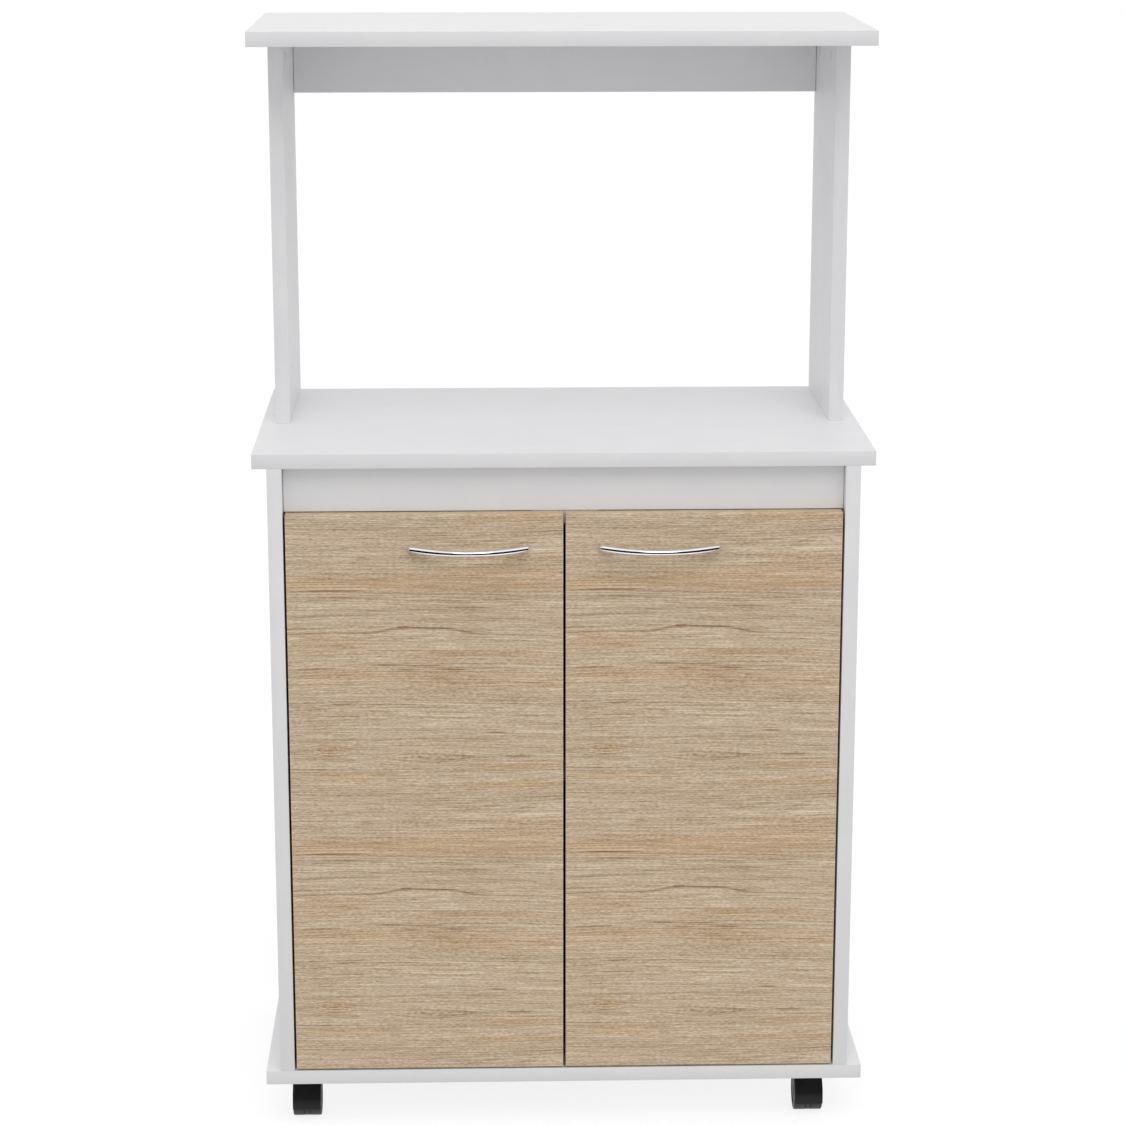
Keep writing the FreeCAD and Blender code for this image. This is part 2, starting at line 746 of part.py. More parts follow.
class Caster:
    """One twin-wheel caster, with its hood turned to the nearer end of the base."""

    def __init__(self, name, x, y, outward):
        self.name = name
        self.outward = outward
        self.top = V(x, y, z_base)
        self.axle_middle = V(x, y, wheel_radius) + outward * caster_trail
        self.wheel_start = caster_web / 2 + wheel_side_gap
        self.half_width = self.wheel_start + wheel_width

    def below(self, depth):
        """The point on the swivel axis at a depth under the base."""
        return self.top - UP * depth

    def screw_seats(self):
        """The four screw places under the plate."""
        half = caster_hole_spacing / 2
        return [self.below(caster_plate) + V(dx, dy, 0) for dx in (-half, half) for dy in (-half, half)]

    def screws(self, extra=0.0):
        """The four screws up into the base."""
        return [wood_screw(seat, UP, screw_length, extra) for seat in self.screw_seats()]

    def plate(self):
        """The mounting plate with its fixed swivel pin."""
        half = caster_plate_size / 2
        plate = block(self.top.x - half, self.top.x + half, self.top.y - half, self.top.y + half,
                      self.top.z - caster_plate, self.top.z)
        boxes = [(edge, edge.BoundBox) for edge in plate.Edges]
        corners = [edge for edge, box in boxes if box.ZLength > box.XLength + box.YLength]
        plate = plate.makeFillet(caster_plate_corner, corners)
        pin = rod(caster_pin_radius, self.below(caster_pin_depth), UP, caster_pin_depth)
        return drilled(joined([plate, pin]), self.screws(fit_clearance))

    def across(self, radius, start, end):
        """A bar along the axle's line between two distances from its middle."""
        return rod(radius, self.axle_middle + RIGHT * start, RIGHT, end - start)

    def hood(self):
        """The cover over the outer side and the top of the wheels."""
        inner = wheel_radius + wheel_rim_gap
        outer = inner + caster_hood

        def point(radius, angle):
            turn = math.radians(angle)
            reach = self.outward * radius * math.cos(turn) + UP * radius * math.sin(turn)
            return self.axle_middle - RIGHT * self.half_width + reach

        sweep = RIGHT * 2 * self.half_width
        return ring_sector(point, inner, outer, caster_hood_start, caster_hood_end, sweep)

    def body(self):
        """The swivelling body: head, boss, hood and the web between the wheels."""
        head_top = caster_plate + caster_head_gap
        head = rod(caster_head_radius, self.below(head_top + caster_head), UP, caster_head)
        boss = rod(caster_boss_radius, self.below(caster_boss_depth), UP, caster_boss_depth - head_top)
        half_web = caster_web / 2
        web = self.across(wheel_radius - caster_web_recess, -half_web, half_web)
        neck = block(self.top.x - half_web, self.top.x + half_web, self.axle_middle.y,
                     self.top.y - self.outward.y * caster_boss_radius, self.axle_middle.z,
                     self.top.z - head_top - caster_head)
        room_radius = wheel_radius + wheel_rim_gap
        wheel_room = [self.across(room_radius, *sorted((sign * half_web, sign * self.half_width)))
                      for sign in SIDES.values()]
        pin_end = self.below(caster_pin_depth + caster_head_gap)
        pin_room = rod(caster_pin_radius + running_clearance, pin_end, UP, caster_pin_depth)
        outside = drilled(joined([head, boss]), wheel_room)
        axle_room = self.across(caster_axle_radius + press_clearance, -caster_web, caster_web)
        return drilled(joined([outside, web, neck, self.hood()]), [pin_room, axle_room])

    def axle(self):
        """The axle, fixed in the web."""
        reach = self.half_width - wheel_cap_wall - running_clearance
        return self.across(caster_axle_radius, -reach, reach)

    def rims(self, wheel):
        """The wheel's round edges, the one next to the web first."""
        edges = [edge for edge in wheel.Edges if edge.isClosed()]
        return sorted(edges, key=lambda edge: abs(edge.BoundBox.XMin - self.top.x))

    def wheel(self, sign):
        """The wheel on one side of the web, closed at its outer face."""
        start, end = sorted((sign * self.wheel_start, sign * self.half_width))
        wheel = self.across(wheel_radius, start, end)
        wheel = wheel.makeFillet(wheel_inner_round, self.rims(wheel)[:1])
        wheel = wheel.makeFillet(wheel_edge_round, self.rims(wheel)[-1:])
        bore_end = sign * (self.half_width - wheel_cap_wall)
        bore = self.across(caster_axle_radius + running_clearance, *sorted((0.0, bore_end)))
        dish_ends = sorted((sign * (self.half_width - wheel_hub_dish), sign * self.half_width))
        dish = self.across(wheel_hub_dish_radius, *dish_ends)
        return drilled(wheel, [bore, dish])


def caster_list():
    """The four casters, by the corner that they stand at."""
    swivel_inset = caster_axle_setback + caster_trail
    places_x = {"left": -x_panel_end + caster_inset_left, "right": x_panel_end - caster_inset_right}
    ends = {"front": (y_front + swivel_inset, BACK * -1), "rear": (y_back - swivel_inset, BACK)}
    return [Caster(end + "_" + side, x, y, outward)
            for end, (y, outward) in ends.items() for side, x in places_x.items()]


CASTERS = caster_list()


# Write every node

def write_carcass():
    """The boards and what joins them."""
    save("base_panel", base_panel())
    save("worktop", worktop())
    save("top_shelf", top_shelf())
    save("upper_rail", upper_rail())
    save("front_rail", front_rail())
    save("back_panel", back_panel())
    save("inner_shelf", inner_shelf())
    for side in SIDES:
        save("side_panel_" + side, side_panel(side))
        save("upright_" + side, upright(side))
    cams = [cam for name in JOINTS for cam in joint_parts(name)[0]]
    dowels = [dowel for name in JOINTS for dowel in joint_parts(name)[1]]
    save("cam_locks", [cam.cam for cam in cams])
    save("cam_bolts", [cam.bolt for cam in cams])
    save("cam_caps", [cam.cap for cam in joint_parts("top_shelf")[0]])
    save("wood_dowels", [dowel.dowel for dowel in dowels])
    save("panel_screws", [confirmat(start) for start in base_screw_starts() + upright_screw_starts()])
    save("back_panel_nails", [nail(start) for sign in SIDES.values() for start in nail_starts(sign)])
    places = [(place, sign) for sign in SIDES.values() for place in shelf_pin_places(sign)]
    save("shelf_pins", [shelf_pin(place, sign) for place, sign in places])
    save("magnetic_catch", magnetic_catch())
    save("catch_magnets", catch_magnets())
    save("catch_screws", catch_screws())


def write_doors():
    """The doors, their handles and their hinges."""
    for side in SIDES:
        save("door_" + side, door(side))
        save("handle_" + side, on_side(handle(), side))
        save("handle_screws_" + side, [on_side(screw, side) for screw in handle_screws()])
        save("strike_plate_" + side, on_side(strike_plate(), side))
        save("hinge_cups_" + side, [on_side(hinge.cup(), side) for hinge in HINGES])
        save("hinge_pins_" + side, [on_side(hinge.cup_pin(), side) for hinge in HINGES])
        cup_screws = [screw for hinge in HINGES for screw in hinge.cup_screws()]
        save("hinge_cup_screws_" + side, [on_side(screw, side) for screw in cup_screws])
        for hinge, level in zip(HINGES, ("lower", "upper")):
            save("hinge_arm_" + side + "_" + level, on_side(hinge.arm(), side))
    save("hinge_plates", [on_side(hinge.plate(), side) for side in SIDES for hinge in HINGES])
    save("hinge_screws", [on_side(screw, side) for side in SIDES for hinge in HINGES
                          for screw in hinge.plate_screws() + [hinge.arm_screw()]])


def write_casters():
    """The casters, each with its plate, body, axle and two wheels."""
    save("caster_plates", [caster.plate() for caster in CASTERS])
    save("caster_screws", [screw for caster in CASTERS for screw in caster.screws()])
    for caster in CASTERS:
        save("caster_body_" + caster.name, caster.body())
        save("caster_axle_" + caster.name, caster.axle())
        for side, sign in SIDES.items():
            save("caster_wheel_" + caster.name + "_" + side, caster.wheel(sign))


os.makedirs("parts", exist_ok=True)
write_carcass()
write_doors()
write_casters()
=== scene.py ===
import json
import logging
import math
from dataclasses import dataclass, field
from enum import Enum
from typing import Callable, ClassVar, Dict, List, Optional, Sequence, Tuple, Union

import bmesh
import bpy
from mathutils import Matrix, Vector

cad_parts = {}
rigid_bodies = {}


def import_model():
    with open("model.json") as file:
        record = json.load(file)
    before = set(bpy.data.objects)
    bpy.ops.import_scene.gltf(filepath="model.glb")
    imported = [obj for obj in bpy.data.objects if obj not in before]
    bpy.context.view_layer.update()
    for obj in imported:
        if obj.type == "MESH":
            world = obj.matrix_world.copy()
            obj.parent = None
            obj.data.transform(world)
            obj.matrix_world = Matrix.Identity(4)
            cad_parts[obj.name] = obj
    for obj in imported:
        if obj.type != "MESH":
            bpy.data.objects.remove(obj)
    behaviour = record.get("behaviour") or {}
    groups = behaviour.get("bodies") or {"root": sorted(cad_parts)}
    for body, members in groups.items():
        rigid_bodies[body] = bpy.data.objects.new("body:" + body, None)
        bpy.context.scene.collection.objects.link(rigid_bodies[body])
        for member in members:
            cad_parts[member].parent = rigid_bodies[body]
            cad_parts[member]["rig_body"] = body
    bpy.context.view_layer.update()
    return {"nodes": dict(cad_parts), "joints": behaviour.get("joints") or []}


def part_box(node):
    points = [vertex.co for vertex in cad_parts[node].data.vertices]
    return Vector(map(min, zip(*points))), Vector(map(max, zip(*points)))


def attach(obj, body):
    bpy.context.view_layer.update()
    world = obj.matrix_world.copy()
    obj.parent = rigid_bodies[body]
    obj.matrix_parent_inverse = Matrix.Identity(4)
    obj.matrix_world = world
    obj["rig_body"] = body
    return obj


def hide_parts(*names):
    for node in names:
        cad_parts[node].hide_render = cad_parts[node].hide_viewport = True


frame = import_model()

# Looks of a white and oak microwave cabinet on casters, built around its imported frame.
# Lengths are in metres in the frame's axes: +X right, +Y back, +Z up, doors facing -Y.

LOG = logging.getLogger("microwave_cabinet")
MM = 0.001
MERGE_DISTANCE = 0.001 * MM
LOOKS_ALONG = 0.99

Triple = Tuple[float, float, float]
Colour = Triple
Span = Tuple[float, float]
Box = Tuple[Vector, Vector]
Bore = Tuple[Vector, Vector, float]
Piece = bpy.types.Object
Socket = bpy.types.NodeSocket
Pick = Callable[[object], bool]
Step = Callable[[], object]

MIDDLE_OF_NOISE: Span = (0.3, 0.7)
MEAN_OF_NOISE = 0.5
WHITE: Colour = (1.0, 1.0, 1.0)


class Element(Enum):
    """What an edit-mode operator works on."""

    VERT = "VERT"
    EDGE = "EDGE"
    FACE = "FACE"


class Axis(Enum):
    """An axis of the frame."""

    X = 0
    Y = 1
    Z = 2

    @property
    def unit(self) -> Vector:
        """The axis as a unit vector."""
        return Vector([1.0 if i == self.value else 0.0 for i in range(3)])


class Half(Enum):
    """One half of the cabinet, by its name in the frame's nodes and its sign on an axis."""

    @property
    def word(self) -> str:
        """The half's name as the frame's nodes use it."""
        return self.value[0]

    @property
    def sign(self) -> float:
        """-1 or +1."""
        return self.value[1]


class Side(Half):
    """The left or right half, with its sign on X."""

    LEFT = ("left", -1.0)
    RIGHT = ("right", 1.0)


class End(Half):
    """The front or rear half, with its sign on Y."""

    FRONT = ("front", -1.0)
    REAR = ("rear", 1.0)


class Boolean(Enum):
    """What a Boolean modifier does with its tool."""

    CUT = "DIFFERENCE"
    ADD = "UNION"


def srgb(*levels: float) -> Colour:
    """Turns red, green and blue on the 0 to 255 display scale into linear values.

    Args:
        levels: The three levels.

    Returns:
        The linear colour.
    """
    def linear(level: float) -> float:
        """The linear value of one level."""
        share = level / 255.0
        return share / 12.92 if share <= 0.04045 else ((share + 0.055) / 1.055) ** 2.4
    return tuple(linear(level) for level in levels)


def every(part: object) -> bool:
    """Picks every part of a mesh."""
    return True


def looking(*ways: Vector) -> Pick:
    """Makes a pick of the faces that look along any of some unit vectors."""
    return lambda face: any(face.normal.dot(way) > LOOKS_ALONG for way in ways)


def bordering(*ways: Vector) -> Pick:
    """Makes a pick of the edges of the faces that look along any of some unit vectors."""
    return lambda edge: any(looking(*ways)(face) for face in edge.link_faces)


def middle_line(box: Box, axis: int, start: float, end: float) -> Box:
    """Gives two points on a box's middle line along an axis.

    Args:
        box: Lowest and highest corner of the box.
        axis: The axis's number.
        start: Where the first point lies on the axis.
        end: Where the other point lies on the axis.

    Returns:
        The two points.
    """
    first = (box[0] + box[1]) / 2
    last = first.copy()
    first[axis], last[axis] = start, end
    return first, last


class Bench:
    """Hand tools on meshes. Each one starts and ends in object mode with nothing selected."""

    @staticmethod
    def clear() -> None:
        """Leaves edit mode and deselects every object."""
        if bpy.context.object is not None and bpy.context.object.mode != "OBJECT":
            bpy.ops.object.mode_set(mode="OBJECT")
        bpy.ops.object.select_all(action="DESELECT")

    @staticmethod
    def take(piece: Piece) -> None:
        """Makes one piece the only selected and active one.

        Args:
            piece: The piece.
        """
        Bench.clear()
        piece.select_set(True)
        bpy.context.view_layer.objects.active = piece

    @staticmethod
    def named(name: str) -> Piece:
        """Names the piece that was just added, with its place put into its mesh.

        Args:
            name: The piece's name.

        Returns:
            The piece, deselected.
        """
        piece = bpy.context.object
        piece.name = name
        piece.data.name = name
        bpy.ops.object.transform_apply(location=True, rotation=True, scale=True)
        Bench.clear()
        return piece

    @staticmethod
    def cube(name: str, low: Vector, high: Vector) -> Piece:
        """Adds a block between two corners.

        Args:
            name: The piece's name.
            low: Lowest corner.
            high: Highest corner.

        Returns:
            The block.
        """
        Bench.clear()
        bpy.ops.mesh.primitive_cube_add(size=1.0, location=(low + high) / 2)
        bpy.context.object.scale = high - low
        return Bench.named(name)

    @staticmethod
    def cylinder(name: str, radius: float, start: Vector, end: Vector, sides: int = 48) -> Piece:
        """Adds a round bar between two points.

        Args:
            name: The piece's name.
            radius: The bar's radius.
            start: Centre of the first end.
            end: Centre of the other end.
            sides: Flat sides around the bar.

        Returns:
            The bar.
        """
        Bench.clear()
        line = end - start
        turn = line.to_track_quat("Z", "Y").to_euler()
        bpy.ops.mesh.primitive_cylinder_add(vertices=sides, radius=radius, depth=line.length,
                                            location=(start + end) / 2, rotation=turn)
        return Bench.named(name)

    @staticmethod
    def edit(piece: Piece, element: Element, pick: Pick, *steps: Step) -> None:
        """Selects part of a mesh and runs operators on it.

        Args:
            piece: The piece to shape.
            element: What is selected.
            pick: Says which elements are selected.
            steps: Operators to run in edit mode, in order.
        """
        Bench.take(piece)
        bpy.ops.object.mode_set(mode="EDIT")
        bpy.ops.mesh.select_mode(type=element.value)
        bpy.ops.mesh.select_all(action="DESELECT")
        mesh = bmesh.from_edit_mesh(piece.data)
        mesh.normal_update()
        rows = {Element.VERT: mesh.verts, Element.EDGE: mesh.edges, Element.FACE: mesh.faces}[element]
        for row in rows:
            row.select_set(bool(pick(row)))
        mesh.select_flush_mode()
        bmesh.update_edit_mesh(piece.data)
        for step in steps:
            step()
        Bench.clear()

    @staticmethod
    def ease_edges(piece: Piece, width: float, segments: int, pick: Pick = every) -> None:
        """Rounds the picked edges to a width, with a number of faces across the rounding."""
        Bench.edit(piece, Element.EDGE, pick,
                   lambda: bpy.ops.mesh.bevel(offset=width, segments=segments, affect="EDGES"))

    @staticmethod
    def cut(piece: Piece, tool: Piece, action: Boolean = Boolean.CUT) -> None:
        """Cuts a tool's shape out of a piece, or adds it, and removes the tool.

        Args:
            piece: The piece to shape.
            tool: The shape that is cut out or added.
            action: Whether it is cut out or added.
        """
        Bench.take(piece)
        boolean = piece.modifiers.new("cut", "BOOLEAN")
        boolean.operation = action.value
        boolean.solver = "EXACT"
        boolean.object = tool
        bpy.ops.object.modifier_apply(modifier=boolean.name)
        bpy.data.objects.remove(tool)
        Bench.clear()

    @staticmethod
    def turn(angle: float, axis: Axis, centre: Vector) -> None:
        """Turns the selection right-handed by an angle in radians round an axis through a point."""
        bpy.ops.transform.rotate(value=-angle, orient_axis=axis.name, center_override=centre)

    @staticmethod
    def spin(angle: float, axis: Axis, centre: Vector, steps: int) -> None:
        """Sweeps the selection right-handed by an angle in radians round an axis through a point."""
        bpy.ops.mesh.spin(steps=steps, angle=-angle, center=centre, axis=axis.unit)

    @staticmethod
    def join(name: str, pieces: Sequence[Piece]) -> Piece:
        """Makes one piece of several.

        Args:
            name: The new piece's name.
            pieces: What is joined.

        Returns:
            The joined piece.
        """
        Bench.clear()
        for piece in pieces:
            piece.select_set(True)
        bpy.context.view_layer.objects.active = pieces[0]
        bpy.ops.object.join()
        return Bench.named(name)

    @staticmethod
    def smooth(piece: Piece, angle: float = 30.0) -> None:
        """Shades a piece smooth across its flatter edges.

        Args:
            piece: The piece.
            angle: Degrees past which an edge stays sharp.
        """
        Bench.take(piece)
        bpy.ops.object.shade_smooth_by_angle(angle=math.radians(angle))
        Bench.clear()

    @staticmethod
    def face_out(piece: Piece) -> None:
        """Merges doubles and turns every face outwards.

        Args:
            piece: The piece to mend.
        """
        Bench.edit(piece, Element.FACE, every,
                   lambda: bpy.ops.mesh.remove_doubles(threshold=MERGE_DISTANCE),
                   lambda: bpy.ops.mesh.normals_make_consistent(inside=False))


def settle(piece: Piece, finishes: Sequence["Finish"], body: str, node: str) -> Piece:
    """Gives a finished piece its materials and sets it on its body in the place of its node.

    Args:
        piece: The piece.
        finishes: Its finishes, the main one first.
        body: The body that it rides on.
        node: The node that it stands for.

    Returns:
        The piece.
    """
    piece.data.materials.clear()
    for finish in finishes:
        piece.data.materials.append(finish.material())
    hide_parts(node)
    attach(piece, body)
    return piece


def solids_of(node: str) -> List[Box]:
    """Finds the separate solids in one node of the frame.

    Args:
        node: The node's name.

    Returns:
        The lowest and highest corner of each solid.
    """
    mesh = bmesh.new()
    mesh.from_mesh(frame["nodes"][node].data)
    bmesh.ops.remove_doubles(mesh, verts=mesh.verts, dist=MERGE_DISTANCE)
    waiting = set(mesh.verts)
    boxes = []
    while waiting:
        rim = [waiting.pop()]
        points = []
        while rim:
            vert = rim.pop()
            points.append(vert.co.copy())
            near = [edge.other_vert(vert) for edge in vert.link_edges]
            fresh = [other for other in near if other in waiting]
            waiting.difference_update(fresh)
            rim.extend(fresh)
        low, high = (Vector([end(point[i] for point in points) for i in range(3)]) for end in (min, max))
        boxes.append((low, high))
    mesh.free()
    return sorted(boxes, key=lambda box: tuple(box[0]))


class Shader:
    """A node tree, with one short call for each node that the finishes and the studio use."""

    other_mix_inputs: ClassVar[int] = 5
    mixed_colour: ClassVar[int] = 2

    def __init__(self, owner: Union[bpy.types.Material, bpy.types.World],
                 surface: str = "BSDF_PRINCIPLED") -> None:
        """Starts on the nodes of a new material or world.

        Args:
            owner: The material or world.
            surface: Type of the node that makes its surface.
        """
        owner.use_nodes = True
        self.owner = owner
        self.tree = owner.node_tree
        self.surface = next(node for node in self.tree.nodes if node.type == surface)

    def feed(self, target: Socket, value: object) -> None:
        """Links a socket to an input or sets plain numbers on it.

        Args:
            target: The input.
            value: A socket, a number, three numbers, or None to leave the input as it is.
        """
        if isinstance(value, Socket):
            self.tree.links.new(value, target)
        elif value is not None:
            target.default_value = (*value, 1.0) if target.type == "RGBA" else value

    def node(self, kind: str, *feeds: object, **settings: object) -> bpy.types.Node:
        """Adds a node.

        Args:
            kind: The node's type, without its common first part.
            feeds: Sockets and numbers for its inputs, in order.
            settings: Its properties.

        Returns:
            The node.
        """
        made = self.tree.nodes.new("ShaderNode" + kind)
        for key, value in settings.items():
            setattr(made, key, value)
        for target, value in zip(made.inputs, feeds):
            self.feed(target, value)
        return made

    def place(self, scale: Triple = (1.0, 1.0, 1.0), shift: Triple = (0.0, 0.0, 0.0),
              base: Optional[Socket] = None) -> Socket:
        """Scales and then shifts the object's own coordinates, or others."""
        source = base or self.node("TexCoord").outputs["Object"]
        return self.node("Mapping", source, shift, None, scale).outputs["Vector"]

    def noise(self, vector: Socket, scale: float, detail: float, rough: float = 0.5) -> Socket:
        """Adds a noise of about 0 to 1, with a number of patches to the unit of length."""
        return self.node("TexNoise", vector, None, scale, detail, rough).outputs["Fac"]

    def span(self, value: Socket, source: Span, target: Span = (0.0, 1.0), smooth: bool = False) -> Socket:
        """Maps the values between two ends onto those between two others, clamped."""
        easing = "SMOOTHSTEP" if smooth else "LINEAR"
        return self.node("MapRange", value, *source, *target, interpolation_type=easing).outputs["Result"]

    def maths(self, operation: str, first: object, second: object = 0.0) -> Socket:
        """Joins two values, or a value and a number, with an operation."""
        return self.node("Math", first, second, operation=operation).outputs["Value"]

    def vector(self, *parts: Socket) -> Socket:
        """Makes a vector of two or three values."""
        return self.node("CombineXYZ", *parts).outputs["Vector"]

    def split(self, vector: Socket) -> Tuple[Socket, ...]:
        """Takes a vector apart."""
        return tuple(self.node("SeparateXYZ", vector).outputs)

    def blend(self, share: object, first: object, second: object, kind: str = "MIX") -> Socket:
        """Lays a share of a second colour over a first one, each as a socket or three numbers."""
        feeds = (share, *[None] * self.other_mix_inputs, first, second)
        return self.node("Mix", *feeds, data_type="RGBA", blend_type=kind).outputs[self.mixed_colour]

    def relief(self, height: Socket, depth: float) -> None:
        """Makes the surface's normal follow a height of 0 to 1 over a depth."""
        bump = self.node("Bump", None, depth, None, height)
        self.feed(self.surface.inputs["Normal"], bump.outputs["Normal"])

    def set(self, **sockets: object) -> None:
        """Feeds the surface's sockets, with underscores for the spaces in their names."""
        for key, value in sockets.items():
            self.feed(self.surface.inputs[key.replace("_", " ")], value)


@dataclass(frozen=True)
class Finish:
    """A surface finish. Its material is made on first use and shared afterwards."""

    name: str
    made: ClassVar[Dict[str, bpy.types.Material]] = {}

    def material(self) -> bpy.types.Material:
        """Gives the finish's material.

        Returns:
            The material.
        """
        if self.name not in Finish.made:
            shader = Shader(bpy.data.materials.new(self.name))
            self.paint(shader)
            Finish.made[self.name] = shader.owner
        return Finish.made[self.name]

    def paint(self, shader: Shader) -> None:
        """Lays out the finish's nodes in a new material."""
        raise NotImplementedError


@dataclass(frozen=True)
class Pattern:
    """A noise: patches to the metre, octaves and strength of its detail, and stretch of its axes."""

    per_metre: float
    detail: float = 2.0
    rough: float = 0.5
    stretch: Triple = (1.0, 1.0, 1.0)

    def paint(self, shader: Shader) -> Socket:
        """Adds the pattern on the object's own coordinates."""
        return shader.noise(shader.place(self.stretch), self.per_metre, self.detail, self.rough)


@dataclass(frozen=True)
class Grained(Finish):
    """A finish in patches of two near colours, with a fine grain that shows in its gloss and its relief."""

    colour: Colour
    shade: Colour
    roughness: Span
    grain: Pattern
    depth: float
    patches: Pattern
    patch_range: Span = MIDDLE_OF_NOISE
    soft_patches: bool = False
    metallic: float = 0.0
    gloss: float = 0.5

    def paint(self, shader: Shader) -> None:
        """Lays out the finish's nodes.

        Args:
            shader: The new material.
        """
        grain = self.grain.paint(shader)
        tone = shader.span(self.patches.paint(shader), self.patch_range, smooth=self.soft_patches)
        shader.set(Base_Color=shader.blend(tone, self.colour, self.shade), Metallic=self.metallic,
                   Roughness=shader.span(grain, MIDDLE_OF_NOISE, self.roughness),
                   Specular_IOR_Level=self.gloss)
        shader.relief(grain, self.depth)


@dataclass(frozen=True)
class Metal(Grained):
    """Plated or cast metal, with fine scratches or casting grain."""

    grain: Pattern = Pattern(900.0, 3.0, 0.6)
    depth: float = 0.01 * MM
    patches: Pattern = Pattern(60.0)
    patch_range: Span = (0.35, 0.7)
    metallic: float = 1.0


@dataclass(frozen=True)
class Moulded(Grained):
    """Moulded plastic, with a fine spark-eroded grain."""

    grain: Pattern = Pattern(1400.0, rough=0.6)
    depth: float = 0.02 * MM
    patches: Pattern = Pattern(55.0)


@dataclass(frozen=True)
class Hardboard(Finish):
    """Back sheet: white lacquer on the inner face and bare brown fibre on the outer one."""

    lacquer: Colour = srgb(232, 232, 230)
    fibre: Colour = srgb(150, 118, 86)
    dark_fibre: Colour = srgb(122, 92, 64)
    speckle: Pattern = Pattern(420.0, 4.0, 0.7)
    speckle_range: Span = (0.35, 0.68)
    clouds: Pattern = Pattern(9.0, 3.0)
    cloud_share: float = 0.35
    inner_range: Span = (-0.6, -0.4)
    roughness: Span = (0.55, 0.8)
    depth: float = 0.05 * MM

    def paint(self, shader: Shader) -> None:
        """Lays out the finish's nodes.

        Args:
            shader: The new material.
        """
        speckle = self.speckle.paint(shader)
        bare = shader.blend(shader.span(speckle, self.speckle_range), self.fibre, self.dark_fibre)
        clouds = shader.span(self.clouds.paint(shader), MIDDLE_OF_NOISE, (0.0, self.cloud_share))
        bare = shader.blend(clouds, bare, self.dark_fibre)
        backward = shader.split(shader.node("NewGeometry").outputs["Normal"])[Axis.Y.value]
        inner = shader.span(backward, self.inner_range, (1.0, 0.0))
        shader.set(Base_Color=shader.blend(inner, bare, self.lacquer),
                   Roughness=shader.span(speckle, MIDDLE_OF_NOISE, self.roughness))
        shader.relief(speckle, self.depth)


@dataclass(frozen=True)
class Figure:
    """One long soft mark in the oak decor, in millimetres from the upper left corner of a repeat."""

    along: float
    down: float
    length: float
    width: float
    rise: float = 0.0
    strength: float = 1.0
    core: ClassVar[float] = 0.3

    def mask(self, shader: Shader, place: Socket) -> Socket:
        """Paints the mark as a soft ellipse.

        Args:
            shader: The material.
            place: Place on the decor, in millimetres along and down.

        Returns:
            The mask, from 0 at the mark's rim to its strength in its core.
        """
        slant = math.atan2(-self.rise, self.length)
        ellipse = shader.node("Mapping", place, (self.along, self.down, 0.0), (0.0, 0.0, slant),
                              (self.length / 2, self.width / 2, 1.0), vector_type="TEXTURE")
        radius = shader.node("VectorMath", ellipse.outputs["Vector"], operation="LENGTH")
        return shader.span(radius.outputs["Value"], (self.core, 1.0), (self.strength, 0.0), smooth=True)


def figures(*rows: Tuple[float, ...]) -> Tuple[Figure, ...]:
    """Makes marks of rows: along, down, length, width, and for some rows rise and strength."""
    return tuple(Figure(*row) for row in rows)


@dataclass(frozen=True)
class Grain:
    """A layer of the oak's grain: its lines' length and width in millimetres, its offset and its weight."""

    length: float
    width: float
    offset: float
    weight: float = 1.0
    detail: ClassVar[float] = 0.5

    def paint(self, shader: Shader, roll: Socket, turn: float) -> Socket:
        """Adds the layer.

        Args:
            shader: The material.
            roll: Place on the decor's roll.
            turn: Millimetres in one turn of the roll.

        Returns:
            The value socket, about 0 to 1.
        """
        radius = turn / (2 * math.pi * self.width)
        shift = (self.offset, self.offset, -self.offset)
        return shader.noise(shader.place((1 / self.length, radius, radius), shift, roll), 1.0, self.detail)


@dataclass(frozen=True)
class Tint:
    """Marks of one colour in the oak decor, which the coarse or fine grain breaks up."""

    colour: Colour
    fine: bool
    grain_range: Span
    shown: Span
    marks: Tuple[Figure, ...]


LEFT_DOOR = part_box("door_left")
RIGHT_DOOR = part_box("door_right")
DOOR_WIDTH = LEFT_DOOR[1].x - LEFT_DOOR[0].x
DOOR_HEIGHT = LEFT_DOOR[1].z - LEFT_DOOR[0].z
DOOR_PITCH = RIGHT_DOOR[0].x - LEFT_DOOR[0].x
DECOR_CORNER = Vector((LEFT_DOOR[0].x - (DOOR_PITCH - DOOR_WIDTH) / 2, LEFT_DOOR[0].y, LEFT_DOOR[1].z))

WARM = Tint(srgb(209, 177, 139), False, (0.25, 0.6), (0.4, 1.0), figures(
    (141.0, 70.0, 560.0, 30.0, 10.0, 0.9), (220.0, 60.0, 240.0, 30.0, 6.0, 0.8),
    (141.0, 175.0, 600.0, 28.0, -12.0, 0.6), (30.0, 141.0, 170.0, 24.0, 0.0, 0.6),
    (190.0, 151.0, 240.0, 14.0, 0.0, 0.6), (240.0, 3.0, 190.0, 14.0, 0.0, 0.8),
    (44.0, 247.0, 54.0, 9.0, 3.0, 0.7), (240.0, 266.0, 140.0, 11.0, 0.0, 0.7),
    (60.0, 277.0, 200.0, 10.0, -2.0, 0.7), (240.0, 43.0, 130.0, 10.0, 0.0, 0.5)))
PALE = Tint(srgb(222, 203, 178), False, (0.35, 0.65), (1.0, 0.2), figures(
    (95.0, 181.0, 90.0, 8.0, -3.0, 0.7), (140.0, 136.0, 80.0, 10.0, 0.0, 0.7),
    (265.0, 252.0, 60.0, 10.0, -4.0, 0.7), (250.0, 36.0, 90.0, 8.0, 0.0, 0.6),
    (20.0, 99.0, 70.0, 10.0, 0.0, 0.5)))
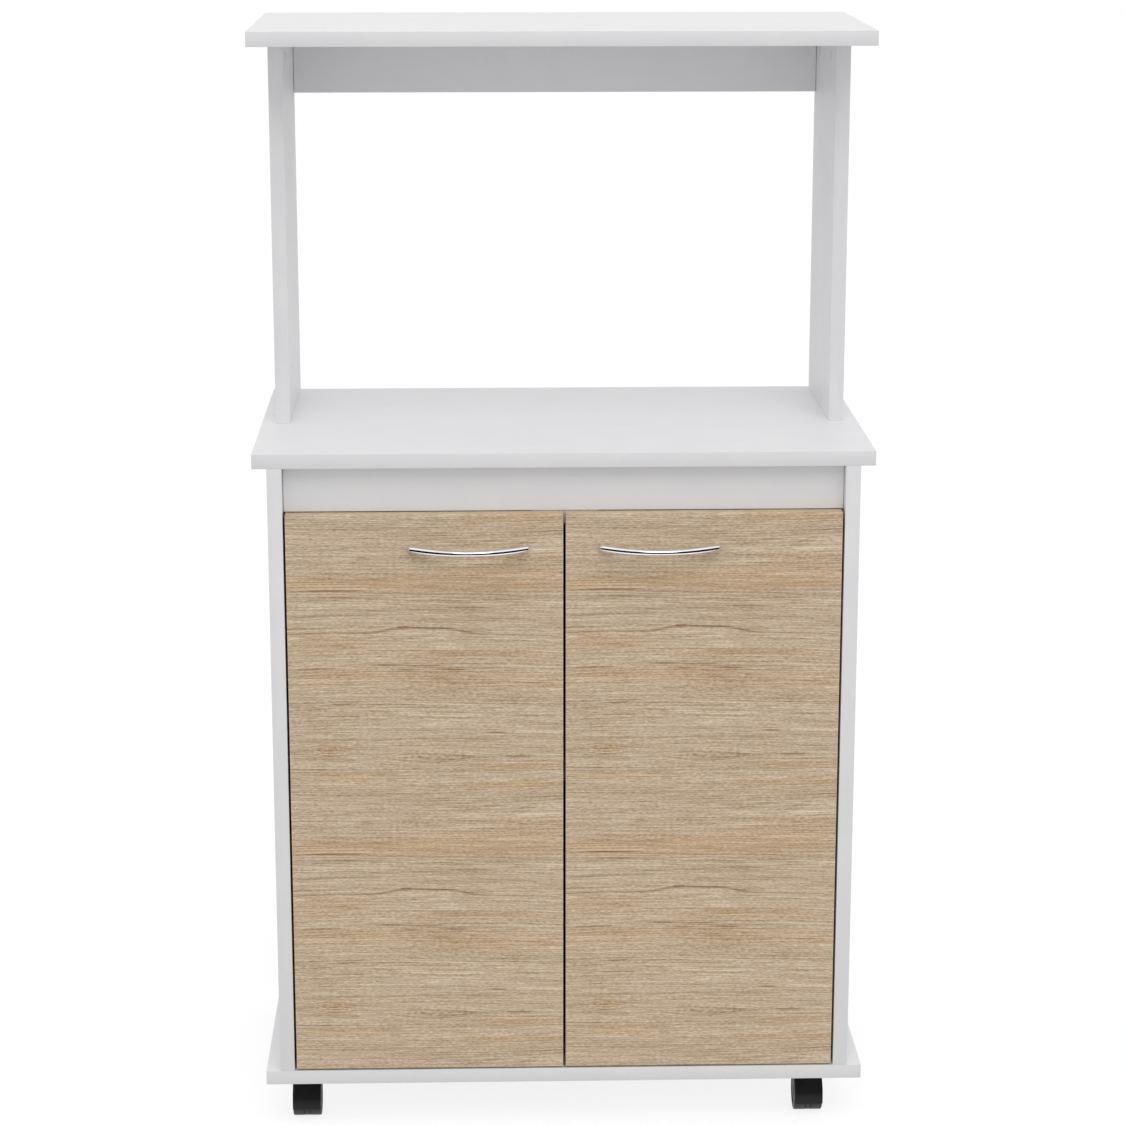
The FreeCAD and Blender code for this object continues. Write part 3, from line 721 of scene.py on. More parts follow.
VEIN = Tint(srgb(150, 110, 74), True, (0.35, 0.6), (0.45, 1.0), figures(
    (45.0, 79.7, 100.0, 2.6, 0.5, 0.95), (141.0, 81.5, 400.0, 1.8, 0.0, 0.4),
    (120.0, 129.6, 420.0, 3.6, 0.5, 0.65), (120.0, 128.6, 26.0, 3.0, 2.0, 0.8),
    (160.0, 129.5, 26.0, 3.4, -1.0, 0.8), (35.0, 111.0, 90.0, 2.0, 1.5, 0.7),
    (262.0, 18.0, 56.0, 2.4, 1.8, 0.9), (25.0, 163.3, 80.0, 2.6, 0.0, 0.8),
    (140.0, 161.5, 60.0, 2.8, 0.0, 0.85), (165.0, 165.5, 54.0, 2.2, 0.0, 0.9),
    (104.0, 160.5, 50.0, 2.8, 0.0, 0.6), (195.0, 159.5, 70.0, 2.0, 0.5, 0.55),
    (213.0, 226.3, 32.0, 2.2, 0.0, 0.95), (35.0, 274.5, 100.0, 2.2, -1.5, 0.6),
    (236.0, 253.5, 38.0, 2.2, 0.0, 0.7), (235.0, 70.0, 130.0, 2.0, 6.0, 0.55),
    (250.0, 177.3, 80.0, 1.5, 0.0, 0.5), (78.0, 43.6, 30.0, 3.0, 0.0, 0.6),
    (150.0, 255.0, 110.0, 8.0, 0.0, 0.3), (100.0, 22.0, 420.0, 40.0, 0.0, 0.1),
    (200.0, 100.0, 300.0, 40.0, 0.0, 0.06)))


@dataclass(frozen=True)
class OakDecor(Finish):
    """Light oak decor with its grain across the doors, printed from a roll whose turn is one door's width.

    Warm bands, brown veins and pale streaks lie at their places on each turn of the roll, over a grain of
    several widths and short dark pores. The marks bow up over one knot, and the grain opens round two eyes.
    Over a door's top and bottom edges the print folds on. Its lengths are in millimetres.
    """

    corner: Triple = tuple(DECOR_CORNER / MM)
    pitch: float = DOOR_PITCH / MM
    turn: float = DOOR_WIDTH / MM
    height: float = DOOR_HEIGHT / MM
    fold_rim: float = 0.4
    beige: Colour = srgb(211, 188, 160)
    tints: Tuple[Tint, ...] = (WARM, PALE, VEIN)
    even_shade: float = 0.5
    dark_share: Triple = (0.58, 0.5, 0.38)
    light_share: Triple = (1.42, 1.5, 1.62)
    roughness: Span = (0.46, 0.6)
    layers: Tuple[Grain, ...] = (
        Grain(4.0, 0.75, 3.7), Grain(30.0, 0.75, 7.4, 0.8), Grain(120.0, 0.8, 11.1, 0.95),
        Grain(160.0, 2.2, 14.8, 0.14), Grain(300.0, 5.5, 18.5, 0.12), Grain(700.0, 13.0, 22.2, 0.12))
    coarse: Grain = Grain(45.0, 3.0, 47.1)
    fine: Grain = Grain(45.0, 1.3, 31.3)
    drift: Grain = Grain(300.0, 70.0, 5.3)
    sway: float = 10.0
    knot: Figure = Figure(142.0, 120.0, 130.0, 56.0)
    bow: float = 6.0
    eyes: Tuple[Figure, ...] = figures(
        (150.0, 255.0, 120.0, 26.0, 0.0, 0.7), (44.0, 249.0, 64.0, 22.0, 0.0, 0.6))
    pore_marks: Tuple[Figure, ...] = figures(
        (141.0, 97.0, 500.0, 44.0), (140.0, 163.0, 170.0, 20.0, 0.0, 0.9),
        (80.0, 204.0, 240.0, 26.0, 0.0, 0.5), (40.0, 250.0, 90.0, 34.0, 0.0, 0.7))
    pore_range: Span = (0.56, 0.7)
    pores_elsewhere: float = 0.25
    pore_shade: float = 0.3
    pore_depth: float = 0.05 * MM

    def paint(self, shader: Shader) -> None:
        """Lays out the finish's nodes.

        Args:
            shader: The new material.
        """
        maths = shader.maths
        left, front, top = self.corner
        x, y, z = shader.split(shader.place((1 / MM, 1 / MM, -1 / MM), (-left, -front, top)))
        along = maths("FLOORED_MODULO", x, self.pitch)
        from_middle = maths("ABSOLUTE", maths("SUBTRACT", z, self.height / 2))
        over_edge = maths("GREATER_THAN", from_middle, self.height / 2 - self.fold_rim)
        folded = maths("ADD", z, maths("MULTIPLY", y, over_edge))
        down = self.flow(shader, along, maths("FLOORED_MODULO", folded, self.turn))
        roll = self.roll(shader, along, down)
        bump = maths("MULTIPLY", self.knot.mask(shader, shader.vector(along, down)), self.bow)
        place = shader.vector(along, maths("ADD", down, bump))

        shade = self.even_shade
        for layer in self.layers:
            swing = maths("SUBTRACT", layer.paint(shader, roll, self.turn), MEAN_OF_NOISE)
            shade = maths("ADD", maths("MULTIPLY", swing, layer.weight), shade)
        fine = self.fine.paint(shader, roll, self.turn)
        zones = maths("ADD", self.masks(shader, place, self.pore_marks), self.pores_elsewhere)
        pores = maths("MULTIPLY", shader.span(fine, self.pore_range), zones)
        shade = maths("SUBTRACT", shade, maths("MULTIPLY", pores, self.pore_shade))

        coarse = self.coarse.paint(shader, roll, self.turn)
        colour = self.beige
        for tint in self.tints:
            shown = shader.span(fine if tint.fine else coarse, tint.grain_range, tint.shown)
            share = maths("MULTIPLY", self.masks(shader, place, tint.marks), shown)
            colour = shader.blend(share, colour, tint.colour)
        light = shader.blend(shade, self.dark_share, self.light_share)
        shader.set(Base_Color=shader.blend(1.0, colour, light, "MULTIPLY"),
                   Roughness=shader.span(coarse, MIDDLE_OF_NOISE, self.roughness))
        shader.relief(shade, self.pore_depth)

    def flow(self, shader: Shader, along: Socket, down: Socket) -> Socket:
        """Bends the grain: a slow sway and an opening round each eye.

        Args:
            shader: The material.
            along: Millimetres along the grain.
            down: Millimetres down the repeat.

        Returns:
            The bent distance down the repeat.
        """
        maths = shader.maths
        place = shader.vector(along, down)
        drift = self.drift.paint(shader, self.roll(shader, along, down), self.turn)
        swing = maths("SUBTRACT", drift, MEAN_OF_NOISE)
        bent = maths("ADD", down, maths("MULTIPLY", swing, 2 * self.sway))
        for eye in self.eyes:
            offset = maths("SUBTRACT", down, eye.down)
            bent = maths("SUBTRACT", bent, maths("MULTIPLY", offset, eye.mask(shader, place)))
        return bent

    def roll(self, shader: Shader, along: Socket, down: Socket) -> Socket:
        """Winds the decor round its roll, so that the grain meets itself at each turn."""
        angle = shader.maths("MULTIPLY", down, 2 * math.pi / self.turn)
        return shader.vector(along, shader.maths("COSINE", angle), shader.maths("SINE", angle))

    @staticmethod
    def masks(shader: Shader, place: Socket, marks: Sequence[Figure]) -> Socket:
        """Joins the masks of several marks.

        Args:
            shader: The material.
            place: Place on the decor, in millimetres along and down.
            marks: The marks.

        Returns:
            The joined mask.
        """
        mask = marks[0].mask(shader, place)
        for figure in marks[1:]:
            mask = shader.maths("MAXIMUM", mask, figure.mask(shader, place))
        return mask


WHITE_FACE = Grained("white_melamine", srgb(240, 240, 241), srgb(238, 238, 240), (0.42, 0.54),
                     Pattern(1500.0, rough=0.6), 0.03 * MM, Pattern(22.0, 3.0, 0.6), soft_patches=True)
WHITE_EDGE = Grained("white_edge_band", srgb(240, 240, 241), srgb(237, 237, 239), (0.36, 0.46),
                     Pattern(900.0, stretch=(0.05, 1.0, 0.05)), 0.012 * MM, Pattern(18.0), soft_patches=True)
OAK = OakDecor("light_oak")
BACK_SHEET = Hardboard("hardboard_sheet")
BEECH_LINES = Pattern(700.0, 3.0, 0.6, (1.0, 0.2, 1.0))
BEECH = Grained("beech_dowel", srgb(214, 180, 138), srgb(176, 136, 94), (0.6, 0.6),
                BEECH_LINES, 0.03 * MM, BEECH_LINES)
NICKEL = Metal("nickel_plated_steel", srgb(205, 205, 207), srgb(178, 178, 181), (0.2, 0.32))
CHROME = Metal("satin_chrome", srgb(247, 248, 250), srgb(241, 242, 245), (0.05, 0.09),
               Pattern(700.0, 3.0, 0.6, (0.1, 1.0, 1.0)), 0.004 * MM)
ZINC = Metal("die_cast_zinc", srgb(176, 176, 178), srgb(150, 150, 153), (0.38, 0.55),
             Pattern(1300.0, 3.0, 0.6), 0.03 * MM)
FERRITE = Moulded("sintered_ferrite", srgb(62, 61, 62), srgb(48, 47, 48), (0.55, 0.7))
WHITE_PLASTIC = Moulded("white_moulded_plastic", srgb(236, 236, 236), srgb(230, 230, 231), (0.4, 0.5))
BLACK_NYLON = Moulded("black_moulded_nylon", srgb(27, 27, 29), srgb(22, 22, 24), (0.36, 0.48), gloss=0.28)
# The wheels' nylon is a lighter copy of the body's black nylon: the extra lightness is painted reflection of
# the bright floor on the wheels' lower band.
WHEEL_NYLON_AND_PAINTED_SHEEN = Moulded("black_wheel_nylon", srgb(66, 66, 68), srgb(58, 58, 60), (0.4, 0.55), gloss=0.3)


@dataclass
class Board:
    """One panel of the carcass: an eased board with banded edges and the bores that show."""

    node: str
    thin: Axis
    body: str = "cabinet"
    slot: str = "white_board"
    face: Finish = WHITE_FACE
    edge: Finish = WHITE_EDGE
    ease: float = 0.35 * MM
    ease_steps: int = 2
    band: float = 0.6 * MM
    rim_bands: float = 1.5
    end_gap: float = 0.0
    bores: List[Bore] = field(default_factory=list)

    def build(self) -> Piece:
        """Models the board in its node's place.

        Returns:
            The board, riding on its body.
        """
        low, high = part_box(self.node)
        inset = Axis.X.unit * self.end_gap
        board = Bench.cube("board_" + self.node, low + inset, high - inset)
        Bench.ease_edges(board, self.ease, self.ease_steps)
        across = self.thin.unit
        Bench.edit(board, Element.FACE, looking(across, -across),
                   lambda: bpy.ops.mesh.inset(thickness=self.band, depth=0.0))
        for start, end, radius in self.bores:
            Bench.cut(board, Bench.cylinder("bore", radius, start, end))
        Bench.smooth(board)
        settle(board, (self.face, self.edge), self.body, self.node)
        rim = self.ease + self.rim_bands * self.band
        flat = [axis.value for axis in Axis if axis is not self.thin]
        for polygon in board.data.polygons:
            inside = all(low[i] + rim < polygon.center[i] < high[i] - rim for i in flat)
            polygon.material_index = 0 if inside else 1
        return board


class Carcass:
    """The boards of the cupboard, the bay and the base, with the fittings that show in them."""

    boards: Dict[str, Axis] = {
        "base_panel": Axis.Z, "worktop": Axis.Z, "top_shelf": Axis.Z, "inner_shelf": Axis.Z,
        "side_panel_left": Axis.X, "side_panel_right": Axis.X, "upright_left": Axis.X,
        "upright_right": Axis.X, "upper_rail": Axis.Y, "front_rail": Axis.Y,
    }
    cam_node: str = "cam_locks"
    cap_node: str = "cam_caps"
    screw_node: str = "panel_screws"
    bore_room: float = 0.1 * MM
    overshoot: float = 1.0 * MM
    screw_head: float = 3.0 * MM
    screw_head_radius: float = 5.0 * MM
    cap_dome: float = 0.35 * MM
    cap_dome_steps: int = 3
    cap_sides: int = 40
    cap_smooth_deg: float = 35.0
    rail_end_gap: float = 0.4 * MM

    def build(self) -> List[Piece]:
        """Models every board and cap.

        Returns:
            The pieces.
        """
        pieces = []
        for node, thin in self.boards.items():
            gap = self.rail_end_gap if node.endswith("rail") else 0.0
            pieces.append(Board(node, thin, end_gap=gap, bores=self.bores_in(node, thin)).build())
        pieces.append(self.caps())
        return pieces

    def bores_in(self, node: str, thin: Axis) -> List[Bore]:
        """Finds the fittings that lie open in a board's face.

        Args:
            node: The board's node.
            thin: The board's thickness axis.

        Returns:
            Start, end and radius of each bore.
        """
        low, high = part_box(node)
        bores = []
        if node == "base_panel":
            radius = self.screw_head_radius + self.bore_room
            for screw in solids_of(self.screw_node):
                if abs(screw[0].z - low.z) < self.bore_room:
                    line = middle_line(screw, Axis.Z.value, low.z - self.overshoot, low.z + self.screw_head)
                    bores.append((*line, radius))
        if node.startswith("side_panel") or node.endswith("rail"):
            for start, end in solids_of(self.cam_node):
                middle = (start + end) / 2
                if all(low[i] < middle[i] < high[i] for i in range(3)):
                    bores.append(self.cam_bore(start, end, high, thin.value))
        return bores

    def cam_bore(self, start: Vector, end: Vector, high: Vector, axis: int) -> Bore:
        """Works out the bore around one cam from its box.

        Args:
            start: Lowest corner of the cam.
            end: Highest corner of the cam.
            high: Highest corner of the board.
            axis: Number of the board's thickness axis.

        Returns:
            Start, end and radius of the bore.
        """
        radius = max(end[i] - start[i] for i in range(3) if i != axis) / 2 + self.bore_room
        if abs(end[axis] - high[axis]) < self.bore_room:
            mouth, floor = end[axis] + self.overshoot, start[axis] - self.bore_room
        else:
            mouth, floor = start[axis] - self.overshoot, end[axis] + self.bore_room
        return (*middle_line((start, end), axis, mouth, floor), radius)

    def caps(self) -> Piece:
        """Models the domed caps over the uprights' cams.

        Returns:
            All the caps as one piece.
        """
        caps = []
        for start, end in solids_of(self.cap_node):
            ends = (end.x, start.x) if start.x + end.x > 0 else (start.x, end.x)
            base, tip = middle_line((start, end), Axis.X.value, *ends)
            cap = Bench.cylinder("cam_cap", (end.z - start.z) / 2, base, tip, self.cap_sides)
            Bench.ease_edges(cap, self.cap_dome, self.cap_dome_steps, bordering((tip - base).normalized()))
            caps.append(cap)
        piece = Bench.join("cam_cap_set", caps)
        Bench.smooth(piece, self.cap_smooth_deg)
        return settle(piece, (WHITE_PLASTIC,), "cabinet", self.cap_node)


@dataclass
class Door:
    """One oak door with its hinge bores and its bow handle."""

    side: Side
    cup_bore_radius: float = 17.6 * MM
    cup_bore_depth: float = 11.6 * MM
    overshoot: float = 1.0 * MM
    gap_room: float = 0.3 * MM
    leg: float = 0.5 * MM
    bend_radius: float = 4.0 * MM
    tip: float = 1.0 * MM
    bar_thickness: float = 7.0 * MM
    bar_height: float = 5.5 * MM
    foot_height: float = 7.8 * MM
    flare: float = 1.2
    arc_steps: int = 48
    bend_steps: int = 10
    ring_sides: int = 28
    ring_match: float = 1e-4
    smooth_deg: float = 50.0

    @property
    def body(self) -> str:
        """The body that the door rides on."""
        return self.side.word + "_door"

    def build(self) -> List[Piece]:
        """Models the door and its handle."""
        return [self.panel(), self.handle()]

    def panel(self) -> Piece:
        """Models the door's board, bored for its hinge cups.

        Returns:
            The door.
        """
        node = "door_" + self.side.word
        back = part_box(node)[1].y
        bores = []
        for cup in solids_of("hinge_cups_" + self.side.word):
            line = middle_line(cup, Axis.Y.value, back + self.overshoot, back - self.cup_bore_depth)
            bores.append((*line, self.cup_bore_radius))
        door = Board(node, Axis.Y, self.body, "oak_door", OAK, OAK, end_gap=self.gap_room, bores=bores)
        return door.build()

    def handle(self) -> Piece:
        """Models the bow: an oval drawn out of the door, round a bend, along the arc, and back to the door.

        Returns:
            The handle.
        """
        node = "handle_" + self.side.word
        low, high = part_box(node)
        middle = (low + high) / 2
        middle.y = high.y
        half_chord = (high.x - low.x - self.bar_thickness) / 2 + self.tip
        rise = high.y - low.y - self.bar_thickness / 2 - self.leg
        bend_x = half_chord - self.bend_radius
        radius = (bend_x ** 2 + rise ** 2 - self.bend_radius ** 2) / (2 * (rise - self.bend_radius))
        bend = math.atan2(radius - rise, bend_x)
        foot = math.pi / 2 - bend
        centre = middle + Axis.Y.unit * (radius - rise - self.leg)
        first, last = (middle + Vector((side.sign * bend_x, -self.leg, 0.0)) for side in Side)
        Bench.clear()
        bpy.ops.mesh.primitive_circle_add(vertices=self.ring_sides, radius=1.0, fill_type="NGON",
                                          location=middle - Axis.X.unit * half_chord,
                                          rotation=(math.pi / 2, 0.0, 0.0))
        bpy.context.object.scale = (self.bar_thickness / 2, self.bar_height / 2, 1.0)
        handle = Bench.named("bow_handle_" + self.side.word)

        def draw_leg(length: float) -> None:
            """Draws the oval straight along Y."""
            bpy.ops.mesh.extrude_region_move(TRANSFORM_OT_translate={"value": (0.0, length, 0.0)})

        def bearing(vert: bmesh.types.BMVert) -> float:
            """A corner's angle round the arc's centre, 0 in the bow's middle."""
            return math.atan2(vert.co.x - centre.x, centre.y - vert.co.y)
        Bench.edit(handle, Element.FACE, every,
                   lambda: draw_leg(-self.leg),
                   lambda: Bench.spin(bend, Axis.Z, first, self.bend_steps),
                   lambda: Bench.spin(2.0 * foot, Axis.Z, centre, self.arc_steps),
                   lambda: Bench.spin(bend, Axis.Z, last, self.bend_steps),
                   lambda: draw_leg(self.leg))
        for step in range(1, self.arc_steps):
            angle = foot * (2.0 * step / self.arc_steps - 1.0)
            self.raise_part(handle, middle, abs(angle / foot) ** self.flare,
                            lambda vert: abs(bearing(vert) - angle) < self.ring_match)
        self.raise_part(handle, middle, 1.0, lambda vert: abs(bearing(vert)) > foot - self.ring_match)
        Bench.face_out(handle)
        Bench.smooth(handle, self.smooth_deg)
        return settle(handle, (CHROME,), self.body, node)

    def raise_part(self, handle: Piece, middle: Vector, share: float, pick: Pick) -> None:
        """Makes part of the bow taller.

        Args:
            handle: The bow.
            middle: A point at the height of its middle line.
            share: 0 for the bow's own height and 1 for that of its feet.
            pick: Says which corners belong to the part.
        """
        tall = 1.0 + (self.foot_height / self.bar_height - 1.0) * share
        Bench.edit(handle, Element.VERT, pick,
                   lambda: bpy.ops.transform.resize(value=(1.0, 1.0, tall), center_override=middle))


@dataclass
class Wheel:
    """One wheel of a twin caster: a barrel with rounded rims, a dished outer face and a raised hub."""

    corner: str
    side: Side
    outer_round: float = 1.5 * MM
    outer_steps: int = 5
    inner_round: float = 0.4 * MM
    inner_steps: int = 2
    dish_inset: float = 3.5 * MM
    dish_depth: float = 0.7 * MM
    hub_radius: float = 6.0 * MM
    hub_step: float = 0.5 * MM
    sides: int = 96
    smooth_deg: float = 40.0

    def build(self) -> Piece:
        """Models the wheel in its node's place.

        Returns:
            The wheel, riding on its own body.
        """
        name = self.corner + "_" + self.side.word
        node = "caster_wheel_" + name
        low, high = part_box(node)
        radius = (high.z - low.z) / 2
        line = middle_line((low, high), Axis.X.value, low.x, high.x)
        wheel = Bench.cylinder("wheel_" + name, radius, *line, self.sides)
        outward = Axis.X.unit * self.side.sign
        Bench.ease_edges(wheel, self.outer_round, self.outer_steps, bordering(outward))
        Bench.ease_edges(wheel, self.inner_round, self.inner_steps, bordering(-outward))
        plain = radius - self.outer_round - self.dish_inset - self.dish_depth - self.hub_radius
        Bench.edit(wheel, Element.FACE, looking(outward),
                   lambda: bpy.ops.mesh.inset(thickness=self.dish_inset),
                   lambda: bpy.ops.mesh.inset(thickness=self.dish_depth, depth=-self.dish_depth),
                   lambda: bpy.ops.mesh.inset(thickness=plain),
                   lambda: bpy.ops.mesh.inset(thickness=self.hub_step, depth=self.hub_step))
        Bench.smooth(wheel, self.smooth_deg)
        return settle(wheel, (WHEEL_NYLON_AND_PAINTED_SHEEN,), "wheel_" + name, node)


@dataclass
class Caster:
    """One caster's swivelling body: a rounded hood over a web, with the boss for the swivel pin."""

    end: End
    side: Side
    hood_thickness: float = 2.2 * MM
    hood_low_deg: float = -15.0
    hood_high_deg: float = 130.0
    hood_round: float = 0.9 * MM
    hood_round_steps: int = 4
    hood_steps: int = 36
    rim_gap: float = 0.8 * MM
    web_width: float = 5.0 * MM
    web_recess: float = 0.1 * MM
    web_sides: int = 96
    head_radius: float = 7.0 * MM
    head_height: float = 4.6 * MM
    head_ease: float = 0.5 * MM
    head_ease_steps: int = 2
    boss_radius: float = 5.5 * MM
    boss_height: float = 11.1 * MM
    boss_sides: int = 64
    pin_bore_radius: float = 3.55 * MM
    pin_bore_depth: float = 9.5 * MM
    axle_bore_radius: float = 2.55 * MM
    overshoot: float = 1.0 * MM

    @property
    def corner(self) -> str:
        """The caster's corner as the frame's nodes name it."""
        return self.end.word + "_" + self.side.word

    def build(self) -> List[Piece]:
        """Models the body and its two wheels."""
        return [self.housing()] + [Wheel(self.corner, side).build() for side in Side]

    def housing(self) -> Piece:
        """Models the body from its round parts.

        Returns:
            The body.
        """
        node = "caster_body_" + self.corner
        low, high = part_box(node)
        axle = sum(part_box("caster_axle_" + self.corner), Vector()) / 2
        wheel_low, wheel_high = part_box("caster_wheel_" + self.corner + "_left")
        wheel_radius = (wheel_high.z - wheel_low.z) / 2
        outward = self.end.sign
        pin = self.swivel_place(high.z)
        half_width, half_web = (high.x - low.x) / 2, self.web_width / 2
        right, up = Axis.X.unit, Axis.Z.unit

        def across(radius: float, start: float, end: float) -> Piece:
            """A round bar along the axle."""
            return Bench.cylinder("part", radius, axle + right * start, axle + right * end, self.web_sides)

        def upright(radius: float, height: float) -> Piece:
            """A round bar down along the swivel axis."""
            return Bench.cylinder("part", radius, pin - up * height, pin, self.boss_sides)
        body = upright(self.head_radius, self.head_height)
        Bench.ease_edges(body, self.head_ease, self.head_ease_steps, bordering(up, -up))
        Bench.cut(body, upright(self.boss_radius, self.boss_height), Boolean.ADD)
        for side in Side:
            outer = side.sign * (half_width + self.overshoot)
            Bench.cut(body, across(wheel_radius + self.rim_gap, side.sign * half_web, outer))
        Bench.cut(body, across(wheel_radius - self.web_recess, -half_web, half_web), Boolean.ADD)
        reach = pin.y - outward * self.boss_radius
        neck_low = Vector((axle.x - half_web, min(axle.y, reach), axle.z))
        neck_high = Vector((axle.x + half_web, max(axle.y, reach), pin.z - self.head_height / 2))
        Bench.cut(body, Bench.cube("part", neck_low, neck_high), Boolean.ADD)
        Bench.cut(body, self.hood(axle, wheel_radius + self.rim_gap, 2 * half_width, outward), Boolean.ADD)
        Bench.cut(body, Bench.cylinder("part", self.pin_bore_radius, pin - up * self.pin_bore_depth,
                                       pin + up * self.overshoot))
        Bench.cut(body, across(self.axle_bore_radius, -self.web_width, self.web_width))
        body.name = body.data.name = "hooded_body_" + self.corner
        Bench.smooth(body)
        settle(body, (BLACK_NYLON, WHEEL_NYLON_AND_PAINTED_SHEEN), "caster_" + self.corner, node)
        # The web between the wheels takes the lighter wheel nylon too, so its extra lightness is painted
        # floor reflection as well.
        for polygon in body.data.polygons:
            polygon.material_index = 1 if (polygon.center - axle).length < wheel_radius else 0
        return body

    def swivel_place(self, level: float) -> Vector:
        """The swivel axis at a level, from the joint that carries this caster."""
        joint = next(joint for joint in frame["joints"] if joint["name"] == "caster_swivel_" + self.corner)
        return Vector((joint["pos_m"][0], joint["pos_m"][1], level))

    def hood(self, axle: Vector, inner: float, width: float, outward: float) -> Piece:
        """Models the hood: a rounded strip swept over the wheels' outer side and top.

        Args:
            axle: Middle of the axle.
            inner: Radius of the hood's inner face.
            width: Width over both wheels.
            outward: Sign on Y of the side that the hood covers.

        Returns:
            The hood.
        """
        Bench.clear()
        middle = axle + Axis.Y.unit * outward * (inner + self.hood_thickness / 2)
        bpy.ops.mesh.primitive_plane_add(size=1.0, location=middle)
        bpy.context.object.scale = (width, self.hood_thickness, 1.0)
        hood = Bench.named("part")
        Bench.edit(hood, Element.VERT, every,
                   lambda: bpy.ops.mesh.bevel(offset=self.hood_round, segments=self.hood_round_steps,
                                              affect="VERTICES"))
        low, high = math.radians(self.hood_low_deg), math.radians(self.hood_high_deg)
        Bench.edit(hood, Element.FACE, every,
                   lambda: Bench.turn(outward * low, Axis.X, axle),
                   lambda: Bench.spin(outward * (high - low), Axis.X, axle, self.hood_steps))
        Bench.face_out(hood)
        return hood


@dataclass
class Fitting:
    """A fitting: its node's own shape with eased edges, and a cross recess in each screw head."""

    node: str
    finish: Finish
    slot: str
    ease: float = 0.2 * MM
    ease_steps: int = 2
    heads: Optional[Triple] = None
    recess_depth: float = 1.0 * MM
    recess_width: float = 0.9 * MM
    recess_share: float = 0.62
    flat_deg: float = 1.0
    sharp_deg: float = 40.0

    def build(self) -> Piece:
        """Models the fitting from a merged copy of its node.

        Returns:
            The fitting, riding on its node's body.
        """
        source = frame["nodes"][self.node]
        piece = bpy.data.objects.new("fitting_" + self.node, source.data.copy())
        bpy.context.scene.collection.objects.link(piece)
        piece.data.name = piece.name
        sharp = math.radians(self.sharp_deg)

        def is_sharp(edge: bmesh.types.BMEdge) -> bool:
            """Picks the edges that are eased."""
            return len(edge.link_faces) == 2 and edge.calc_face_angle(0.0) > sharp
        Bench.edit(piece, Element.FACE, every,
                   lambda: bpy.ops.mesh.remove_doubles(threshold=MERGE_DISTANCE),
                   lambda: bpy.ops.mesh.dissolve_limited(angle_limit=math.radians(self.flat_deg)))
        Bench.ease_edges(piece, self.ease, self.ease_steps, is_sharp)
        if self.heads is not None:
            for low, high in solids_of(self.node):
                self.recess(piece, low, high)
        Bench.smooth(piece)
        return settle(piece, (self.finish,), source["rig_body"], self.node)

    def recess(self, piece: Piece, low: Vector, high: Vector) -> None:
        """Cuts a cross into one screw's head.

        Args:
            piece: The screws.
            low: Lowest corner of the screw.
            high: Highest corner of the screw.
        """
        axis = max(range(3), key=lambda i: abs(self.heads[i]))
        flat = [i for i in range(3) if i != axis]
        top = (low + high) / 2
        top[axis] = high[axis] if self.heads[axis] > 0 else low[axis]
        reach = (high[flat[0]] - low[flat[0]]) / 2 * self.recess_share
        for long_axis, short_axis in (flat, flat[::-1]):
            half = Vector()
            half[axis], half[long_axis], half[short_axis] = self.recess_depth, reach, self.recess_width / 2
            Bench.cut(piece, Bench.cube("part", top - half, top + half))


class Hardware:
    """The fittings: most get eased edges and screw recesses, and the rest keep their nodes' shapes."""

    plated: Tuple[str, ...] = ("hinge_plates", "strike_plate_left", "strike_plate_right", "hinge_cups_left",
                               "hinge_cups_right", "hinge_arm_left_lower", "hinge_arm_left_upper",
                               "hinge_arm_right_lower", "hinge_arm_right_upper", "caster_plates")
    backward: Triple = (0.0, 1.0, 0.0)
    downward: Triple = (0.0, 0.0, -1.0)
    screws: Dict[str, Triple] = {
        "hinge_cup_screws_left": backward, "hinge_cup_screws_right": backward,
        "handle_screws_left": backward, "handle_screws_right": backward,
        "catch_screws": downward, "caster_screws": downward,
    }
    catch_ease: float = 0.3 * MM
    kept: Dict[str, Finish] = {
        "back_panel": BACK_SHEET, "back_panel_nails": NICKEL, "wood_dowels": BEECH, "cam_locks": ZINC,
        "cam_bolts": NICKEL, "panel_screws": NICKEL, "shelf_pins": NICKEL, "catch_magnets": FERRITE,
        "hinge_screws": NICKEL, "hinge_pins": NICKEL, "caster_axle": NICKEL,
    }

    def build(self) -> List[Piece]:
        """Models the fittings that get finer edges.

        Returns:
            The fittings.
        """
        pieces = [Fitting(node, NICKEL, "steel").build() for node in self.plated]
        pieces.append(Fitting("magnetic_catch", WHITE_PLASTIC, "white_plastic", self.catch_ease).build())
        pieces += [Fitting(node, NICKEL, "steel", heads=way).build() for node, way in self.screws.items()]
        return pieces

    def dress(self) -> List[str]:
        """Gives every node that is still shown its finish.

        Returns:
            The nodes' names.
        """
        dressed = []
        for node, piece in frame["nodes"].items():
            if piece.hide_render:
                continue
            key = max((key for key in self.kept if node.startswith(key)), key=len)
            piece.data.materials.clear()
            piece.data.materials.append(self.kept[key].material())
            dressed.append(node)
        return dressed


